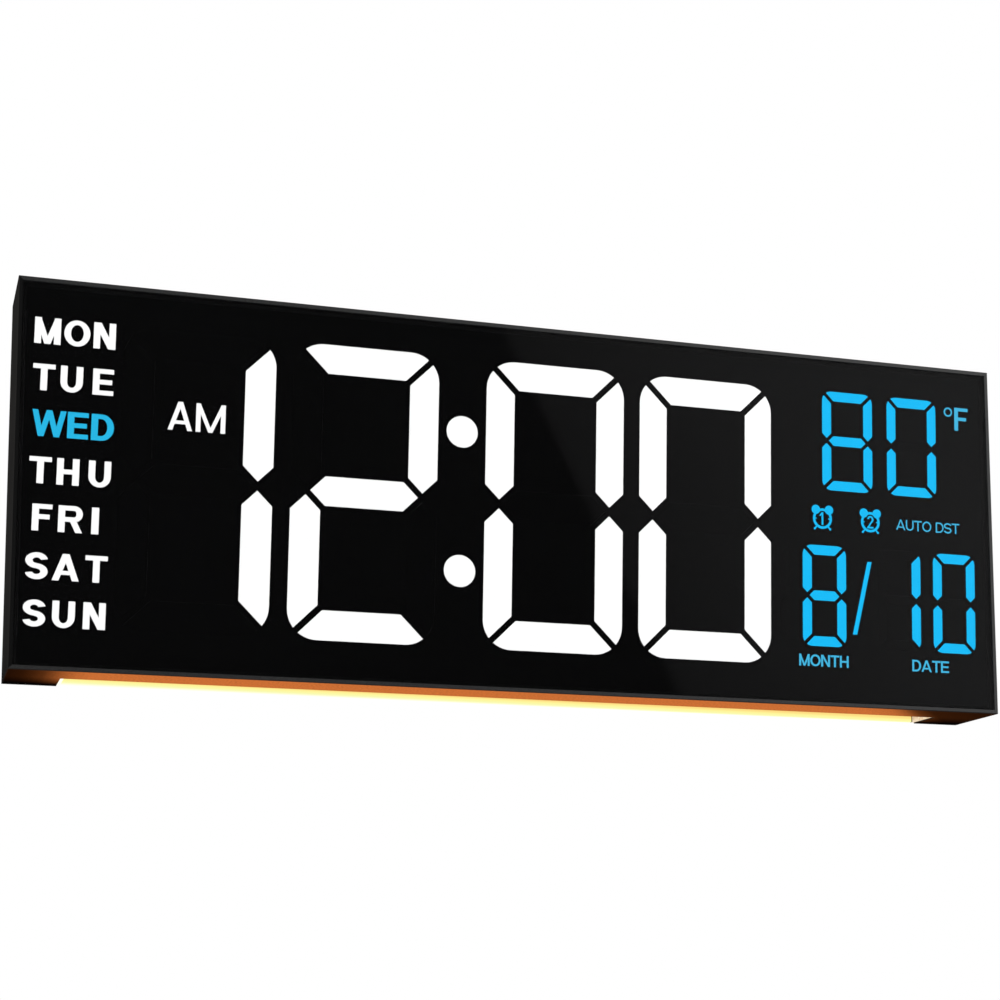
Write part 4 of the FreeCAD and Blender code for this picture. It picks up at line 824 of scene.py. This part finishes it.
# Symbols on the buttons, seen from the back, in millimetres from the middle of each button
RAY = slab(-0.18, -0.25, 0.18, 0.25)
RAY_DISTANCE = 1.45
RAY_COUNT = 8
SYMBOLS = {
    "mode": [slab(-1.5, -1.15, 1.5, -0.7), slab(-1.5, -0.225, 1.5, 0.225), slab(-1.5, 0.7, 1.5, 1.15)],
    "down": [[(-1.5, 0.8), (0, -1.3), (1.5, 0.8)]],
    "up": [[(-1.5, -0.8), (1.5, -0.8), (0, 1.3)]],
    "alarm": [disc(0, 0.35, 1.0), slab(-1.0, -0.8, 1.0, 0.35), slab(-1.5, -1.0, 1.5, -0.6),
              disc(0, -1.1, 0.4)],
    "light": ring(0, 0, 0.95, 0.95, 0.4, 0.4) + [
        moved(RAY, RAY_DISTANCE * math.cos(a), RAY_DISTANCE * math.sin(a)) for a in turn(RAY_COUNT)],
}


def make_button_symbols():
    """A small print on the back of each button, which moves with it."""
    for name, outlines in SYMBOLS.items():
        low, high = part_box(name + "_button")
        middle = (low + high) / 2 / MM
        mirrored = [[(middle.x - x, middle.z + z) for x, z in reversed(outline)] for outline in outlines]
        thin_print(name + "_symbol", mirrored, high.y, high.y + ART_DEPTH, button_print,
                   name + "_button")


# Surroundings

STUDIO_LIGHT = 0.45


def studio_white():
    """White for the camera, for mirrors and for glass; a plain grey light for everything else."""
    world = bpy.data.worlds.new("studio")
    world.use_nodes = True
    bpy.context.scene.world = world
    tree = world.node_tree
    path = node(tree, "ShaderNodeLightPath").outputs
    seen = path["Is Camera Ray"]
    for other in ("Is Glossy Ray", "Is Transmission Ray"):
        seen = node(tree, "ShaderNodeMath", {0: seen, 1: path[other]}, operation="MAXIMUM").outputs[0]
    strength = spread(tree, seen, STUDIO_LIGHT, 1.0, start=0.0, end=1.0)
    tree.links.new(strength, tree.nodes["Background"].inputs["Strength"])
    tree.nodes["Background"].inputs["Color"].default_value = (1, 1, 1, 1)


def flat_mesh(name, corners, material):
    """A flat face of the surroundings, which is no part of the object."""
    mesh = bpy.data.meshes.new(name)
    mesh.from_pydata(corners, [], [range(len(corners))])
    mesh.materials.append(material)
    item = bpy.data.objects.new(name, mesh)
    bpy.context.scene.collection.objects.link(item)
    return item


# The table top, in metres: its reach and height, its tones, and its own glow from a near to a far distance
FLOOR_REACH = 15.0
FLOOR_HEIGHT = -0.2 * MM
FLOOR_DARK = (0.94, 0.94, 0.94)
FLOOR_PALE = (0.96, 0.96, 0.96)
FLOOR_GLOW = 0.6
GLOW_NEAR = 0.6
GLOW_FAR = 2.2


def make_floor():
    """A pale table top that hides nothing from a camera below it."""
    material, shader = new_material("pale_floor")
    tree = material.node_tree
    tone = spread(tree, noise(tree, 0.5, 2.0), 0, 1)
    tree.links.new(tint(tree, tone, FLOOR_DARK, FLOOR_PALE), shader.inputs["Base Color"])
    shader.inputs["Roughness"].default_value = 1.0
    shader.inputs["Specular IOR Level"].default_value = 0.0
    below = node(tree, "ShaderNodeNewGeometry").outputs["Backfacing"]
    camera = node(tree, "ShaderNodeLightPath").outputs["Is Camera Ray"]
    away = node(tree, "ShaderNodeVectorMath", {0: place_of(tree)}, operation="LENGTH").outputs["Value"]
    shader.inputs["Emission Color"].default_value = (1, 1, 1, 1)
    glow = spread(tree, away, 0, FLOOR_GLOW, GLOW_NEAR, GLOW_FAR)
    tree.links.new(times(tree, glow, camera), shader.inputs["Emission Strength"])
    clear = node(tree, "ShaderNodeMixShader", {0: times(tree, below, camera), 1: shader.outputs[0]})
    tree.links.new(node(tree, "ShaderNodeBsdfTransparent").outputs[0], clear.inputs[2])
    tree.links.new(clear.outputs[0], tree.nodes["Material Output"].inputs["Surface"])
    corners = slab(-FLOOR_REACH, -FLOOR_REACH, FLOOR_REACH, FLOOR_REACH)
    flat_mesh("floor", [(x, y, FLOOR_HEIGHT) for x, y in corners], material)


# What the panel mirrors: a dark half of the room at the left, then from a slanted edge a room that grows
# brighter over the distance from the edge, in metres
CARD_Y = -2.0
CARD_EDGE_HIGH = Vector((0.602, CARD_Y, 0.834))
CARD_EDGE_LOW = Vector((0.848, CARD_Y, 0.351))
CARD_SOFT = 0.008
CARD_DARK = 0.13
CARD_BRIGHT = ((0.0, 0.42), (0.18, 0.64), (0.35, 0.82), (0.6, 1.0))
CARD_LEFT = 3.0
CARD_UP = 1.5
CARD_DOWN = 1.0


def make_mirrored_room():
    """A card behind the camera that only mirrors can see."""
    material, shader = new_material("mirrored_room")
    tree = material.node_tree
    edge_way = (CARD_EDGE_LOW - CARD_EDGE_HIGH).normalized()
    outwards = Vector((-edge_way.z, 0, edge_way.x))
    inputs = {0: place_of(tree), 1: outwards}
    place = node(tree, "ShaderNodeVectorMath", inputs, operation="DOT_PRODUCT").outputs["Value"]
    edge = outwards.dot(CARD_EDGE_HIGH)
    distance = node(tree, "ShaderNodeMath", {0: place, 1: edge}, operation="SUBTRACT").outputs[0]
    bright = fade(tree, distance, CARD_BRIGHT)
    beyond = spread(tree, distance, 0, 1, start=-CARD_SOFT, end=CARD_SOFT)
    dark = (CARD_DARK, CARD_DARK, CARD_DARK)
    shader.inputs["Base Color"].default_value = (0, 0, 0, 1)
    shader.inputs["Specular IOR Level"].default_value = 0.0
    tree.links.new(tint(tree, beyond, dark, bright), shader.inputs["Emission Color"])
    shader.inputs["Emission Strength"].default_value = 1.0
    high = CARD_EDGE_HIGH - edge_way * CARD_UP
    low = CARD_EDGE_LOW + edge_way * CARD_DOWN
    near = outwards * CARD_BRIGHT[-1][0]
    far = -outwards * CARD_LEFT
    card = flat_mesh("mirrored_room", [high + near, high + far, low + far, low + near], material)
    card.visible_camera = False
    card.visible_diffuse = False
    card.visible_shadow = False
    card.visible_transmission = False


# The square lamps: each one's place in metres and its power in watts, all aimed at the middle of the case
LAMPS = {
    "key_light": ((-1.4, -2.0, 2.2), 40),
    "fill_light": ((2.0, -1.4, 1.2), 15),
    "back_light": ((0.6, 2.2, 2.0), 27),
}
LAMP_TARGET = Vector((0, 0, 0.08))
LAMP_WIDTH = 1.6


def make_lights():
    """Large soft lamps that mirrors don't show."""
    for name, (place, power) in LAMPS.items():
        lamp = bpy.data.lights.new(name, "AREA")
        lamp.shape = "RECTANGLE"
        lamp.size = LAMP_WIDTH
        lamp.size_y = LAMP_WIDTH
        lamp.energy = power
        item = bpy.data.objects.new(name, lamp)
        item.location = place
        item.rotation_euler = (LAMP_TARGET - Vector(place)).to_track_quat("-Z", "Y").to_euler()
        item.visible_glossy = False
        bpy.context.scene.collection.objects.link(item)


# The camera of the photograph: its place in metres, its turn in degrees about X, Y and Z, its lens and sensor
# in millimetres, and how far its middle is shifted, as a share of the picture
CAMERA_PLACE = (-0.255, -0.804, -0.1281)
CAMERA_TURN = (97.334, 0.1509, -17.4094)
CAMERA_LENS = 74.156
CAMERA_SENSOR = 36.0
CAMERA_SHIFT = (-0.02005, 0.2465)
CAMERA_NEAREST = 0.01


def make_camera():
    """The camera of the photograph: low, left of the middle, looking up a little."""
    camera = bpy.data.cameras.new("camera")
    camera.lens = CAMERA_LENS
    camera.sensor_width = CAMERA_SENSOR
    camera.shift_x = CAMERA_SHIFT[0]
    camera.shift_y = CAMERA_SHIFT[1]
    camera.clip_start = CAMERA_NEAREST
    item = bpy.data.objects.new("camera", camera)
    item.location = CAMERA_PLACE
    item.rotation_euler = [math.radians(angle) for angle in CAMERA_TURN]
    bpy.context.scene.collection.objects.link(item)
    bpy.context.scene.camera = item


dress_cad_nodes()
paint_case()
light_segments()
make_weekdays()
make_small_words()
make_unit()
make_alarm_icons()
make_button_symbols()
studio_white()
make_floor()
make_mirrored_room()
make_lights()
make_camera()
bpy.context.scene.view_settings.view_transform = "Standard"
